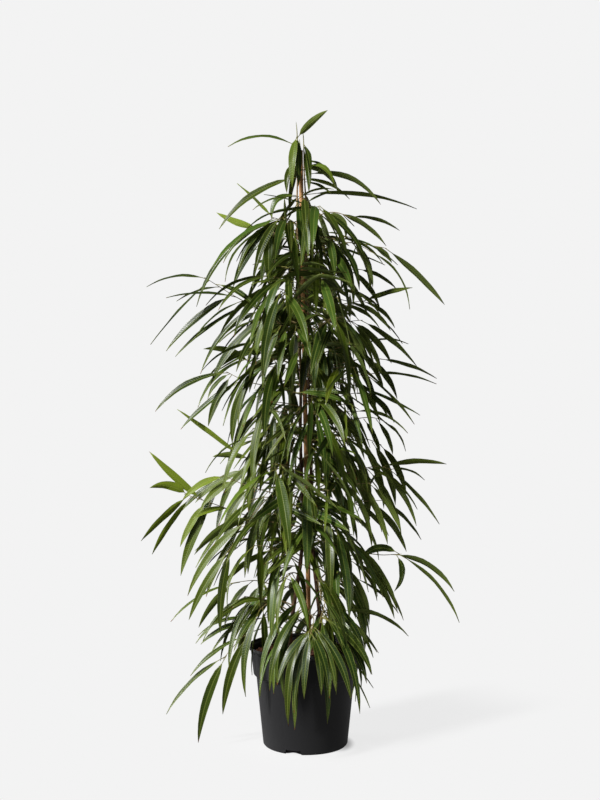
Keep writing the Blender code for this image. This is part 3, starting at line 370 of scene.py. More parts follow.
# Shoots that shape the outline, from the top down:
# stem, height of its root, route (x, z), depth y of its end, depth y of its leaf tips,
# and its leaves, each (how far along, tip x, tip z, arch, roll in degrees, width)
outlineShoots = [
    ("left", 938, [(-35, 958), (-62, 968)], -14, -20, [
        (1.0, -126, 1032, 0.02, -30, 12), (0.95, -200, 803, 0.12, 50, 15),
        (0.8, -133, 838, 0.08, 75, 16), (0.6, -150, 882, 0.16, 35, 13), (0.4, -60, 840, 0.1, 60, 17)]),
    ("left", 912, [(-50, 938), (-90, 953)], 18, 26, [
        (1.0, -168, 987, -0.04, -70, 14), (0.85, -150, 852, 0.16, 30, 12),
        (0.6, -98, 838, 0.1, 40, 14)]),
    ("left", 772, [(-62, 792), (-112, 809), (-140, 831), (-186, 858)], -10, -16, [
        (1.0, -292, 840, 0.12, 30, 12), (0.98, -285, 734, 0.03, 20, 12), (0.86, -240, 816, 0.08, 25, 12),
        (0.72, -256, 722, 0.06, 60, 15), (0.66, -252, 817, 0.07, 25, 13), (0.58, -204, 744, 0.1, 20, 11),
        (0.5, -240, 712, 0.06, 35, 14), (0.44, -193, 680, 0.09, 45, 13), (0.34, -178, 722, 0.1, 55, 14),
        (0.24, -175, 658, 0.1, 60, 16)]),
    ("left", 688, [(-60, 693), (-105, 700)], 16, 22, [
        (1.0, -190, 727, 0.12, -70, 14), (0.8, -120, 610, 0.1, 40, 14), (0.5, -92, 600, 0.08, 50, 14)]),
    ("left", 642, [(-45, 652), (-88, 663), (-116, 668), (-145, 684)], -12, -18, [
        (1.0, -274, 611, 0.12, 45, 14), (0.97, -179, 634, 0.12, 35, 12), (0.94, -178, 584, 0.06, 65, 14),
        (0.76, -230, 578, 0.05, 50, 14), (0.72, -134, 552, 0.06, 70, 15), (0.5, -136, 518, 0.05, 50, 14),
        (0.35, -90, 520, 0.08, 40, 14)]),
    ("left", 500, [(-70, 515), (-122, 528)], 10, 16, [
        (1.0, -238, 615, 0.01, -50, 13), (0.85, -172, 527, 0.08, -60, 13),
        (0.7, -150, 460, 0.05, 70, 14), (0.45, -118, 430, 0.08, 50, 14)]),
    ("left", 508, [(-70, 514), (-122, 500), (-160, 476)], 26, 34, [
        (1.0, -197, 392, 0.06, 60, 15), (0.9, -232, 424, 0.08, 50, 14), (0.75, -168, 376, 0.06, 60, 15),
        (0.6, -206, 440, 0.08, 60, 14), (0.5, -136, 392, 0.08, 60, 14),
        (0.35, -104, 398, 0.08, 50, 14)]),
    ("left", 452, [(-60, 462), (-112, 478), (-150, 496)], -34, -44, [
        (1.0, -222, 452, 0.1, 50, 14), (0.85, -190, 436, 0.08, 60, 15), (0.6, -150, 396, 0.08, 60, 14),
        (0.4, -112, 380, 0.08, 60, 15)]),
    ("left", 398, [(-62, 408), (-130, 424), (-175, 446), (-222, 460)], -16, -24, [
        (1.0, -284, 472, 0.16, -80, 17), (0.99, -300, 375, 0.03, -60, 14),
        (0.96, -280, 350, 0.04, -50, 13), (0.84, -285, 538, -0.02, -75, 15),
        (0.8, -229, 364, 0.05, 60, 14), (0.76, -228, 311, 0.05, 75, 17), (0.6, -206, 414, 0.12, 45, 13),
        (0.5, -150, 372, 0.08, 50, 14), (0.35, -105, 330, 0.06, 60, 15)]),
    ("left", 470, [(-45, 468), (-75, 446), (-112, 402), (-140, 358)], -44, -58, [
        (1.0, -208, 240, 0.05, 60, 14), (0.97, -152, 216, 0.05, 80, 15), (0.7, -212, 280, 0.09, 60, 15),
        (0.66, -200, 354, 0.1, -70, 15), (0.5, -104, 318, 0.06, 60, 14),
        (0.36, -84, 330, 0.06, 60, 13)]),
    ("left", 286, [(-60, 292), (-95, 299), (-138, 293)], 8, 14, [
        (1.0, -198, 210, 0.06, -65, 13), (0.9, -250, 221, 0.1, 15, 11), (0.7, -150, 212, 0.1, 50, 14),
        (0.5, -118, 200, 0.12, 45, 14)]),
    ("left", 222, [(-60, 232), (-110, 217)], 24, 34, [
        (1.0, -196, 175, 0.1, 35, 14), (0.85, -201, 192, 0.14, 25, 12), (0.7, -176, 160, 0.14, 30, 12)]),
    ("left", 204, [(-55, 218), (-110, 203), (-150, 161)], -30, -42, [
        (1.0, -252, 64, 0.08, 25, 13), (0.98, -194, 12, 0.06, 75, 16), (0.7, -209, 132, 0.08, 25, 12),
        (0.66, -150, 62, 0.06, 70, 16)]),
    ("right", 958, [(32, 974), (58, 976), (82, 966)], -12, -18, [
        (1.0, 172, 942, 0.1, 25, 11), (0.7, 148, 914, 0.09, 40, 13), (0.4, 74, 928, 0.26, 60, 14)]),
    ("right", 896, [(52, 922), (105, 914), (134, 917), (150, 912)], 6, 10, [
        (1.0, 258, 808, 0.04, 40, 14), (0.7, 160, 886, 0.08, 40, 13), (0.5, 120, 838, 0.1, 45, 14)]),
    ("right", 872, [(50, 908), (84, 918), (118, 900)], -42, -52, [
        (1.0, 188, 795, 0.15, 20, 11), (0.7, 122, 836, 0.1, 50, 14), (0.45, 86, 800, 0.1, 60, 14)]),
    ("right", 842, [(60, 868), (100, 876)], 24, 34, [
        (1.0, 172, 838, 0.1, 30, 12), (0.8, 140, 800, 0.1, 40, 13)]),
    ("right", 782, [(60, 806), (112, 815)], -6, -14, [
        (1.0, 196, 838, 0.04, -45, 15), (0.95, 164, 764, 0.12, 35, 12), (0.8, 156, 759, 0.1, 40, 13),
        (0.6, 136, 764, 0.12, 40, 12)]),
    ("right", 742, [(60, 772), (106, 780)], 12, 20, [
        (1.0, 208, 694, 0.06, 40, 14), (0.8, 160, 700, 0.08, 50, 14), (0.55, 120, 690, 0.1, 50, 14)]),
    ("right", 706, [(60, 728), (110, 734)], -26, -34, [
        (1.0, 187, 734, 0.12, 15, 10), (0.8, 142, 652, 0.08, 50, 14)]),
    ("right", 676, [(80, 704), (140, 708)], 4, 8, [
        (1.0, 243, 672, 0.06, 30, 13), (0.85, 170, 634, 0.08, 50, 14), (0.6, 130, 616, 0.08, 50, 14)]),
    ("right", 632, [(60, 668), (120, 680)], -30, -38, [
        (1.0, 234, 661, 0.07, 25, 12), (0.95, 197, 588, 0.05, 25, 12), (0.7, 136, 590, 0.08, 50, 14)]),
    ("right", 604, [(60, 638), (115, 646)], 20, 28, [
        (1.0, 166, 590, 0.1, 45, 14), (0.85, 154, 612, 0.14, 40, 12)]),
    ("right", 552, [(70, 590), (120, 600), (150, 590)], -8, -14, [
        (1.0, 184, 538, 0.12, 25, 12), (0.8, 160, 532, 0.08, 45, 13), (0.6, 138, 520, 0.08, 50, 14)]),
    ("right", 522, [(60, 546), (108, 560), (142, 548)], 22, 30, [
        (1.0, 188, 456, 0.08, 50, 14), (0.85, 168, 436, 0.07, 60, 15), (0.65, 146, 430, 0.08, 50, 15),
        (0.5, 120, 424, 0.08, 60, 15), (0.35, 92, 436, 0.08, 50, 14)]),
    ("right", 448, [(66, 474), (118, 482)], -42, -54, [
        (1.0, 172, 394, 0.08, 50, 15), (0.85, 148, 372, 0.07, 60, 15), (0.65, 120, 366, 0.08, 50, 15),
        (0.45, 94, 372, 0.08, 60, 14)]),
    ("right", 748, [(42, 776), (84, 774)], -46, -62, [
        (1.0, 136, 680, 0.08, 50, 15), (0.85, 112, 660, 0.07, 50, 15), (0.65, 88, 648, 0.08, 40, 15),
        (0.45, 60, 652, 0.08, 40, 15)]),
    ("right", 542, [(36, 566), (72, 564)], -48, -66, [
        (1.0, 112, 468, 0.08, 50, 15), (0.85, 92, 444, 0.07, 50, 16), (0.65, 64, 430, 0.08, 30, 16),
        (0.45, 36, 436, 0.08, 30, 15)]),
    ("right", 462, [(70, 494), (128, 510), (158, 504)], -12, -20, [
        (1.0, 218, 486, 0.14, 25, 11), (0.98, 245, 405, 0.05, 35, 13), (0.8, 258, 515, 0.07, 45, 14),
        (0.78, 203, 402, 0.08, 45, 14), (0.6, 176, 384, 0.08, 50, 14), (0.45, 140, 390, 0.08, 50, 14)]),
    ("right", 412, [(80, 440), (150, 446)], 14, 22, [
        (1.0, 216, 372, 0.06, 30, 13), (0.8, 188, 350, 0.08, 50, 14), (0.6, 155, 380, 0.08, 45, 13)]),
    ("right", 322, [(75, 345), (118, 350), (150, 347), (176, 350)], -14, -22, [
        (1.0, 98, 338, 0.24, 60, 15), (0.98, 281, 226, 0.1, 35, 13), (0.94, 162, 283, 0.2, 70, 14),
        (0.86, 272, 282, 0.14, 50, 14)]),
    ("right", 296, [(60, 330), (100, 340)], 6, 12, [
        (1.0, 182, 224, 0.08, 30, 12), (0.9, 165, 227, 0.1, 45, 14), (0.8, 133, 260, 0.12, 30, 12),
        (0.6, 118, 216, 0.1, 50, 14)]),
    ("right", 232, [(40, 250), (64, 248)], -34, -46, [
        (1.0, 186, 206, 0.14, 45, 14), (0.7, 123, 165, 0.12, 50, 13)]),
    ("right", 204, [(50, 216), (82, 210)], 10, 16, [(1.0, 133, 164, 0.1, 20, 11)]),
    ("left", 196, [(-24, 214), (-14, 222)], -86, -130, [(1.0, -19, 66, 0.12, -25, 15)]),
    ("left", 224, [(-38, 242), (-48, 244)], -80, -124, [
        (1.0, -80, 114, 0.1, -35, 13), (0.85, -56, 118, 0.12, -30, 13)]),
    ("right", 198, [(22, 216), (26, 220)], -84, -128, [
        (1.0, 118, 132, 0.06, 40, 16), (0.95, 110, 106, 0.08, 45, 16), (0.85, 42, 118, 0.14, 20, 13)]),
    ("right", 226, [(44, 246), (58, 248)], -76, -116, [
        (1.0, 88, 100, 0.12, 35, 14), (0.6, 98, 140, 0.12, 30, 13)]),
]

# Shoots by rule, which fill the column all round

fillPlan = {
    "seed": 1000,
    "fans": {"left": (150.0, 268.0), "right": (-88.0, 28.0), "back": (34.0, 146.0)},
    "shoots": {"left": 13, "right": 12, "back": 16},
    "bottom": 208.0, "top": 985.0, "core": 62.0,
    "share": (0.45, 0.85), "lift": (0.15, 0.5),
    "leaves": (5, 8), "leafSpan": 0.78,
    "lengths": (104.0, 172.0), "slimness": (0.095, 0.12),
    "yaw": (18.0, 62.0), "dip": (34.0, 68.0), "roll": 48.0, "arch": (0.07, 0.16),
    "turn": 9.0, "turns": 4, "golden": 0.61803, "start": 0.3, "jitter": (0.1, 0.9), "tries": 12,
    "widen": 1.12, "narrow": 0.3, "midLift": 0.6, "endLift": 0.8, "firstSide": 0.25,
    "shorten": 0.02, "open": 0.06,  # for each further try at a leaf
    "sideReach": 400.0,
}

# How far the leaf tips reach at each height: height, radius
reachPlay = 14.0
reachTable = [
    (0, 150), (200, 195), (400, 215), (650, 205), (850, 175), (960, 130), (1050, 90), (1160, 40)]


def outlineShoot(room, stem, height, route, depth, tipDepth, leaves, clear=leafSizes["clear"]):
    root = stemPoint(stem, height)
    routes = []
    for shift in bothWays(shootSizes["shift"], shootSizes["shifts"]):
        run = [root]
        for i, (x, z) in enumerate(route):
            share = (i + 1) / len(route)
            run.append(Vector((x, root.y + (depth + shift - root.y) * share, z)))
        routes.append(run)
    shoot = growShoot(room, stem, routes, clear)
    if shoot is None:
        return None
    for share, x, z, arch, roll, width in leaves:
        base = alongPath(shoot.points, share * leafSizes["lastPlace"])
        options = [Leaf(base, Vector((x, base.y + tipDepth - depth + shift, z)), arch, roll, width,
                        Vector((x, tipDepth, 0)).normalized())
                   for shift in bothWays(leafSizes["shift"], leafSizes["shifts"])]
        growLeaf(room, shoot, options, clear)
    return shoot


def crownLeaf(room, shoots, stem, height, tip, arch, roll, width, clear=leafSizes["clear"]):
    base = stemPoint(stem, height)
    out = Vector((tip[0], tip[1], 0)) - Vector((base.x, base.y, 0))
    options = [Leaf(base, Vector(tip) + Vector((0, shift, 0)), arch, roll, width, out.normalized())
               for shift in bothWays(leafSizes["shift"], leafSizes["shifts"])]
    growLeaf(room, shoots[stem], options, clear)


def fillShoot(room, stem, index, count, plan=fillPlan, clear=leafSizes["clear"],
              unwanted=lambda leaf: False):
    draw = random.Random(layoutSeed * plan["seed"] + sorted(stemPlan).index(stem) * 100 + index)
    low, high = plan["fans"][stem]
    azimuth = low + (high - low) * ((index * plan["golden"] + plan["start"]) % 1)
    place = index + draw.uniform(*plan["jitter"])
    height = plan["bottom"] + (plan["top"] - plan["bottom"]) * place / count
    berth = tieSizes["berth"]
    height += 1.5 * berth * any(abs(height - tie) < berth for tie in tieSizes["heights"])
    length = (tableValue(reachTable, height) - plan["core"]) * draw.uniform(*plan["share"])
    length *= plan["widen"] - plan["narrow"] * abs(facing(azimuth).x)
    root = stemPoint(stem, height)
    routes = []
    for turn in bothWays(plan["turn"], plan["turns"]):
        heading = facing(azimuth + turn)
        lift = draw.uniform(*plan["lift"])
        routes.append([root, root + heading * length * 0.5 + upward * length * lift * plan["midLift"],
                       root + heading * length + upward * length * lift * plan["endLift"]])
    shoot = growShoot(room, stem, routes, clear)
    if shoot is None:
        return None
    growRuleLeaves(room, shoot, draw, plan, clear, unwanted)
    return shoot


def growRuleLeaves(room, shoot, draw, plan, clear, unwanted):
    number = draw.randint(*plan["leaves"])
    for k in range(number):
        base = alongPath(shoot.points, leafSizes["lastPlace"] * (1.0 - plan["leafSpan"] * k / number))
        side = (1 if k % 2 else -1) * (plan["firstSide"] if k == 0 else 1)
        options = ruleLeaves(draw, base, bearingOf(shoot), side, plan)
        growLeaf(room, shoot, [leaf for leaf in options if not unwanted(leaf)], clear)


def bearingOf(shoot):
    heading = shoot.points[-1] - shoot.points[0]
    return math.degrees(math.atan2(heading.y, heading.x))


def ruleLeaves(draw, base, bearing, side, plan):
    options = []
    for attempt in range(plan["tries"]):
        size = draw.uniform(*plan["lengths"]) * (1 - plan["shorten"] * attempt)
        yaw = bearing + side * draw.uniform(*plan["yaw"]) * (1 + plan["open"] * attempt)
        dip = math.radians(draw.uniform(*plan["dip"]))
        out = facing(yaw)
        tip = base + out * size * math.cos(dip) - upward * size * math.sin(dip)
        reach = tableValue(reachTable, tip.z) + reachPlay
        if math.hypot(tip.x, tip.y) <= reach and abs(tip.x) <= plan["sideReach"]:
            options.append(Leaf(base, tip, draw.uniform(*plan["arch"]),
                                draw.uniform(-plan["roll"], plan["roll"]),
                                size * draw.uniform(*plan["slimness"]), out))
    return options


def growSolidsPlant(room):
    room.add(*pathSleeve([caneSizes["foot"], caneSizes["head"]], caneSizes["radius"] + leafSizes["clear"]),
             None, None, "cane")
    room.add(*potSleeve(leafSizes["potClear"]), None, None, "pot")
    stems = {}
    for name, stem in stemPlan.items():
        path = [stemPoint(name, h) for h in spaced(stemSizes["foot"], stem["top"], stemSizes["step"])]
        path.append(path[-1] + stemSizes["bud"])
        stems[name] = Shoot(name, name, path, [])
        room.add(*pathSleeve(path, stemSizes["footRadius"]), name, name, "stem")
    for row in crownLeaves:
        crownLeaf(room, stems, *row)
    grown = [outlineShoot(room, *row) for row in outlineShoots]
    for index in range(max(fillPlan["shoots"].values())):
        for name, count in fillPlan["shoots"].items():
            if index < count:
                grown.append(fillShoot(room, name, index, count))
    return stems, [shoot for shoot in grown if shoot and shoot.leaves]


room = Room()
stemShoots, sideShoots = growSolidsPlant(room)


def leafCount():
    return sum(len(shoot.leaves) for shoot in [*stemShoots.values(), *sideShoots])


print("layout of the solids:", len(sideShoots), "shoots,", leafCount(), "leaves")


# Foliage beyond the solids: it stands closer together, in the room that is left

closeClear, closePotClear = 0.25, 1.5  # mm
frontShoots = [  # laid out as in outlineShoots
    ("left", 212, [(-24, 240), (-6, 240), (10, 224)], -93, -134, [
        (1.0, 37, 75, 0.16, 15, 15), (0.92, -20, 75, 0.16, -15, 15), (0.85, -30, 70, 0.17, 10, 15),
        (0.66, -81, 122, 0.16, -30, 14), (0.56, -52, 131, 0.16, -20, 13)]),
    ("right", 236, [(26, 262), (30, 262), (24, 240)], -96, -132, [
        (1.0, 115, 152, 0.13, -40, 17), (0.9, 40, 125, 0.16, -20, 15), (0.76, 82, 105, 0.16, 15, 14),
        (0.6, 53, 120, 0.17, 20, 13)]),
    ("right", 262, [(34, 292), (40, 308), (34, 300)], -66, -92, [
        (1.0, 72, 213, 0.14, -35, 17), (0.88, 4, 203, 0.14, -15, 14), (0.5, 99, 232, 0.16, 35, 14)]),
    ("right", 372, [(40, 396), (52, 406)], -68, -94, [
        (1.0, 76, 248, 0.1, -20, 17), (0.85, 34, 274, 0.12, -15, 15), (0.6, 99, 311, 0.14, 35, 15)]),
    ("left", 246, [(-40, 264), (-66, 266), (-84, 254)], -60, -90, [
        (1.0, -106, 107, 0.14, 15, 14), (0.9, -72, 155, 0.15, 25, 14), (0.75, -132, 262, 0.18, 30, 13),
        (0.6, -96, 141, 0.14, -30, 14)]),
    ("left", 330, [(-30, 348), (-44, 356)], -60, -88, [
        (1.0, -60, 214, 0.12, -20, 15), (0.6, -92, 246, 0.15, 25, 15), (0.4, -2, 252, 0.12, -10, 14)]),
    ("left", 968, [(-12, 990), (-16, 998)], -30, -50, []),
    ("right", 968, [(12, 984), (18, 990)], -28, -46, [
        (0.8, 44, 890, 0.1, 15, 14), (0.5, 70, 922, 0.12, -25, 12)]),
    # nearer the viewer, fanned over the front of the pot
    ("right", 250, [(24, 276), (34, 276), (26, 252)], -122, -160, [
        (1.0, 113, 164, 0.13, -45, 17), (0.98, 104, 147, 0.14, -30, 16), (0.95, 96, 134, 0.15, -20, 15),
        (0.92, 90, 108, 0.15, -10, 14), (0.6, 104, 184, 0.14, -35, 15)]),
    ("left", 256, [(-20, 284), (-6, 282), (2, 262)], -120, -158, [
        (0.97, -50, 140, 0.15, 25, 14), (0.93, -62, 132, 0.15, 30, 14), (0.82, -38, 112, 0.16, 15, 14),
        (0.74, -80, 150, 0.13, 40, 13)]),
    ("left", 228, [(-5, 252), (14, 248), (8, 230)], -148, -186, [
        (1.0, 38, 140, 0.12, -20, 14), (0.98, -3, 127, 0.12, 0, 13), (0.95, 26, 132, 0.12, -10, 13),
        (0.92, -49, 148, 0.12, 25, 14), (0.88, 51, 138, 0.12, -30, 13), (0.84, 76, 126, 0.12, -35, 14),
        (0.8, -20, 96, 0.1, 10, 16)]),
]
crownExtras = [  # more leaves from the stems, as in crownLeaves
    ("left", 1119, (-13, -30, 1024), 0.14, 5, 13), ("right", 1092, (6, -34, 1010), 0.12, -15, 12),
    ("right", 1072, (44, -32, 1036), 0.2, -30, 11), ("right", 1034, (48, -8, 1010), 0.1, -40, 9),
    ("back", 1024, (12, 24, 930), 0.12, 0, 13),
]
# The plainest leaves in the middle of the photograph, with places as seen from the camera in the
# plane of the pot's axis: stem, height of its root, end of its shoot (x, z), depth y of that end,
# and its leaves as in outlineShoots
seenShoots = [
    ("right", 985, (-4, 1004), -46, [(1.0, 5, 890, 0.08, -8, 15), (0.8, 1, 936, 0.12, 5, 14)]),
    ("left", 930, (-72, 962), -56, [
        (1.0, -126, 871, 0.1, 35, 14), (0.95, -69, 848, 0.1, 0, 18), (0.5, -10, 875, 0.1, -10, 13)]),
    ("right", 920, (54, 930), -58, [
        (1.0, 100, 835, 0.12, -30, 13), (0.8, 54, 858, 0.1, -10, 14), (0.5, 76, 872, 0.14, -30, 12)]),
    ("left", 846, (-40, 866), -70, [(1.0, -74, 760, 0.1, 25, 14), (0.8, -28, 768, 0.08, 5, 14)]),
    ("left", 770, (-18, 766), -82, [(1.0, 10, 706, 0.1, -20, 14), (0.97, -25, 640, 0.07, 8, 17)]),
    ("left", 742, (-45, 768), -74, [(1.0, -78, 654, 0.09, 20, 15), (0.7, -50, 668, 0.08, 5, 13)]),
    ("right", 676, (12, 702), -80, [(1.0, 54, 602, 0.12, -25, 16), (0.8, 34, 612, 0.1, -10, 13)]),
    ("right", 586, (18, 612), -86, [
        (1.0, 75, 453, 0.09, -18, 17), (0.98, -32, 466, 0.07, 22, 13), (0.94, 36, 485, 0.08, -5, 13)]),
    ("left", 590, (-80, 614), -72, [(1.0, -98, 477, 0.07, 10, 17), (0.7, -62, 500, 0.08, 0, 13)]),
    ("left", 556, (-98, 580), -60, [(1.0, -152, 463, 0.1, 30, 12), (0.7, -120, 470, 0.08, 20, 13)]),
    ("left", 470, (4, 486), -86, [(1.0, 19, 396, 0.09, -8, 12), (0.95, 3, 312, 0.06, 4, 19)]),
    ("right", 380, (56, 404), -84, [(1.0, 80, 232, 0.06, -12, 16), (0.75, 36, 312, 0.08, -5, 13)]),
    ("right", 282, (25, 308), -96, [(1.0, 73, 186, 0.11, -22, 15), (0.8, 48, 214, 0.12, -10, 12)]),
]
seenPlan = {"tipsAhead": 28, "rise": 8}
# Short shoots by rule, over the right of the pot's rim and in gaps of the column:
# stem, height of its root, its end (x, y, z)
rimShoots = [("right", 276, (48, -106, 268)), ("right", 300, (26, -112, 290))]
gapShoots = [
    ("right", 632, (84, -18, 662)), ("right", 582, (88, -26, 610)), ("right", 884, (74, -20, 932)),
    ("right", 798, (72, -24, 838)), ("right", 694, (66, -36, 716)), ("right", 640, (96, 20, 668)),
    ("left", 744, (-92, -22, 782)), ("left", 700, (-84, -34, 736)), ("left", 826, (-74, -30, 858)),
    ("left", 520, (-88, -40, 560)), ("left", 430, (-110, -34, 448)), ("left", 560, (-62, -44, 590)),
    ("left", 232, (-74, -54, 242)), ("left", 372, (-120, -26, 402)), ("left", 344, (-128, 18, 372)),
    ("left", 400, (-96, -56, 420)), ("right", 660, (88, -44, 690)), ("left", 254, (-112, -8, 262)),
]
rimPlan = {
    **fillPlan, "leaves": (5, 6), "leafSpan": 0.5, "slimness": (0.084, 0.106), "lengths": (96.0, 150.0),
    "yaw": (20.0, 88.0), "dip": (40.0, 76.0), "roll": 50.0, "arch": (0.06, 0.16), "sideReach": 106.0,
    "bow": 0.14, "endShift": 1.6,
}
frontPlan = {
    **fillPlan, "seed": 7100,
    "fans": {"left": (216.0, 292.0), "right": (-112.0, -34.0), "back": (60.0, 120.0)},
    "shoots": {"left": 24, "right": 24, "back": 4}, "bottom": 232.0, "top": 940.0,
    "share": (0.30, 0.86), "lift": (0.1, 0.5), "leaves": (9, 12), "leafSpan": 0.85,
    "lengths": (96.0, 184.0), "slimness": (0.070, 0.118),
    "yaw": (50.0, 120.0), "dip": (2.0, 54.0), "roll": 70.0, "arch": (0.0, 0.10), "sideReach": 104.0,
}
gapPlan = {
    **fillPlan, "leaves": (5, 6), "leafSpan": 0.8, "slimness": (0.074, 0.100), "lengths": (96.0, 156.0),
    "yaw": (10.0, 80.0), "dip": (14.0, 64.0), "roll": 60.0, "arch": (0.02, 0.14),
    "bow": 0.14, "endShift": 1.6,
}
morePlan = {
    **fillPlan, "perShoot": 3, "bases": (0.12, 1.0), "slimness": (0.046, 0.088),
    "lengths": (84.0, 170.0), "yaw": (40.0, 125.0), "dip": (-20.0, 52.0), "roll": 70.0, "arch": (0.0, 0.12),
    "tries": 7, "sideReach": 100.0,
}

# Openings through which the cane, the stems, the soil or the background show: x, z, half their
# width and half their height, as seen from the camera in the plane of the pot's axis
viewPlace = Vector((-10.0, -2150.0, 632.0))
viewSteps = 12  # points along a leaf that are tested
nearestPlace = -203.0  # y, which no added leaf passes towards the viewer
openings = [
    (1, 700, 6, 30), (-4, 610, 6, 28), (-7, 528, 6, 24), (-14, 318, 8, 30), (7, 264, 7, 36),
    (22, 254, 7, 34), (-14, 452, 6, 10), (45, 696, 9, 9), (-30, 634, 13, 8), (67, 266, 9, 16),
    (74, 366, 11, 18), (82, 322, 10, 14), (-76, 214, 10, 18), (-32, 262, 7, 16), (-54, 188, 22, 10),
    (-16, 186, 12, 10), (34, 234, 6, 10), (-88, 452, 9, 10), (66, 452, 8, 10), (-12, 1034, 5, 22),
    (54, 974, 15, 12), (104, 190, 12, 22), (-138, 590, 12, 20), (128, 760, 10, 12), (36, 696, 8, 10),
    (-36, 832, 10, 8), (-54, 812, 10, 8), (-66, 668, 9, 9), (-76, 222, 8, 22), (104, 292, 20, 14),
    (-106, 340, 6, 18), (-112, 150, 7, 30), (70, 1000, 30, 8),
]


def seenAt(x, z, depth):
    near = (depth - viewPlace.y) / -viewPlace.y
    return viewPlace.x + (x - viewPlace.x) * near, viewPlace.z + (z - viewPlace.z) * near


def seenShoot(room, stem, height, end, depth, leaves):
    tipDepth = depth - seenPlan["tipsAhead"]
    x, z = seenAt(*end, depth)
    root = stemPoint(stem, height)
    route = [((root.x + x) / 2, (height + z) / 2 + seenPlan["rise"]), (x, z)]
    placed = [(share, *seenAt(tipX, tipZ, tipDepth), *kind) for share, tipX, tipZ, *kind in leaves]
    return outlineShoot(room, stem, height, route, depth, tipDepth, placed, closeClear)


def asSeen(point):
    near = (point.y - viewPlace.y) / -viewPlace.y
    return viewPlace.x + (point.x - viewPlace.x) / near, viewPlace.z + (point.z - viewPlace.z) / near


def blocksView(leaf):
    for k in range(1, viewSteps + 1):
        point = leafFrame(leaf, k / viewSteps)[0]
        wide = halfWidth(leaf, k / viewSteps)
        x, z = asSeen(point)
        if point.y < nearestPlace or any(abs(x - middle) < across + wide and abs(z - height) < tall
                                         for middle, height, across, tall in openings):
            return True
    return False


def gapShoot(room, stem, height, end, plan):
    draw = random.Random(layoutSeed + height)
    root, end = stemPoint(stem, height), Vector(end)
    middle = root.lerp(end, 0.5) + upward * (end - root).length * plan["bow"]
    routes = [[root, middle + Vector((0, shift, 0)), end + Vector((0, plan["endShift"] * shift, 0))]
              for shift in bothWays(shootSizes["shift"], shootSizes["shifts"])]
    shoot = growShoot(room, stem, routes, closeClear)
    if shoot is not None:
        growRuleLeaves(room, shoot, draw, plan, closeClear, blocksView)
    return shoot


def growByPlan(room, plan):
    grown = []
    for index in range(max(plan["shoots"].values())):
        for name, count in plan["shoots"].items():
            if index < count:
                grown.append(fillShoot(room, name, index, count, plan, closeClear, blocksView))
    return [shoot for shoot in grown if shoot and shoot.leaves]


def growMoreLeaves(room, shoots, plan):
    draw = random.Random(layoutSeed)
    for shoot in shoots:
        for k in range(plan["perShoot"]):
            base = alongPath(shoot.points, leafSizes["lastPlace"] * draw.uniform(*plan["bases"]))
            side = draw.choice((-1, 1))
            options = ruleLeaves(draw, base, bearingOf(shoot), side, plan)
            growLeaf(room, shoot, [leaf for leaf in options if not blocksView(leaf)], closeClear)


room.drop("pot")
room.add(*potSleeve(closePotClear), None, None, "pot")
for row in crownExtras:
    crownLeaf(room, stemShoots, *row, closeClear)
sideShoots += filter(None, [seenShoot(room, *row) for row in seenShoots])
sideShoots += filter(None, [outlineShoot(room, *row, closeClear) for row in frontShoots])
sideShoots += filter(None, [gapShoot(room, *row, rimPlan) for row in rimShoots])
sideShoots += filter(None, [gapShoot(room, *row, gapPlan) for row in gapShoots])
print("shoots set by hand:", len(sideShoots), "shoots,", leafCount(), "leaves")
sideShoots += growByPlan(room, frontPlan)
growMoreLeaves(room, sideShoots, morePlan)
sideShoots = [shoot for shoot in sideShoots if shoot.leaves]
print("whole layout:", len(sideShoots), "shoots,", leafCount(), "leaves")


# Helpers for node trees. A field is a node's output that takes part in sums, and each step of a
# sum makes its own node.

def addNode(tree, kind, inputs={}, **settings):
    node = tree.nodes.new(kind)
    for name, value in settings.items():
        setattr(node, name, value)
    for label, value in inputs.items():
        feed(tree, node.inputs[label], value)
    return node


def feed(tree, socket, value):
    if isinstance(value, Field):
        tree.links.new(value.socket, socket)
    else:
        socket.default_value = value


def made(tree, kind, inputs={}, **settings):
    return Field(tree, addNode(tree, kind, inputs, **settings).outputs[0])


class Field:
    mathKind = "ShaderNodeMath"

    def __init__(self, tree, socket):
        self.tree, self.socket = tree, socket

    def worked(self, operation, *values):
        node = addNode(self.tree, self.mathKind, dict(enumerate(values)), operation=operation)
        return type(self)(self.tree, node.outputs[0])

    def to(self, operation, *others):
        return self.worked(operation, self, *others)

    def __add__(self, other):
        return self.to("ADD", other)

    def __sub__(self, other):
        return self.to("SUBTRACT", other)

    def __rsub__(self, other):
        return self.worked("SUBTRACT", other, self)

    def __mul__(self, other):
        return self.to("MULTIPLY", other)

    def __truediv__(self, other):
        return self.to("DIVIDE", other)

    def __pow__(self, other):
        return self.to("POWER", other)

    def __abs__(self):
        return self.to("ABSOLUTE")

    __rmul__ = __mul__


class VectorField(Field):
    mathKind = "ShaderNodeVectorMath"

    def scaled(self, factor):
        node = addNode(self.tree, self.mathKind, {0: self, "Scale": factor}, operation="SCALE")
        return VectorField(self.tree, node.outputs[0])

    def measured(self, operation, *others):
        node = addNode(self.tree, self.mathKind, dict(enumerate((self, *others))), operation=operation)
        return Field(self.tree, node.outputs["Value"])

    def parts(self):
        node = addNode(self.tree, "ShaderNodeSeparateXYZ", {0: self})
        return [Field(self.tree, output) for output in node.outputs]


def summed(first, *others):
    for other in others:
        first = first + other
    return first


def mixed(factor, first, second):
    return first * (1.0 - factor) + second * factor


def eased(value, low, high, start=0.0, end=1.0):
    return made(value.tree, "ShaderNodeMapRange", {
        "Value": value, "From Min": low, "From Max": high, "To Min": start, "To Max": end},
        interpolation_type="SMOOTHSTEP")


def noiseOf(place, scale, detail, roughness=0.5):
    return made(place.tree, "ShaderNodeTexNoise", {
        "Vector": place, "Scale": scale, "Detail": detail, "Roughness": roughness})


# Helpers for objects and meshes

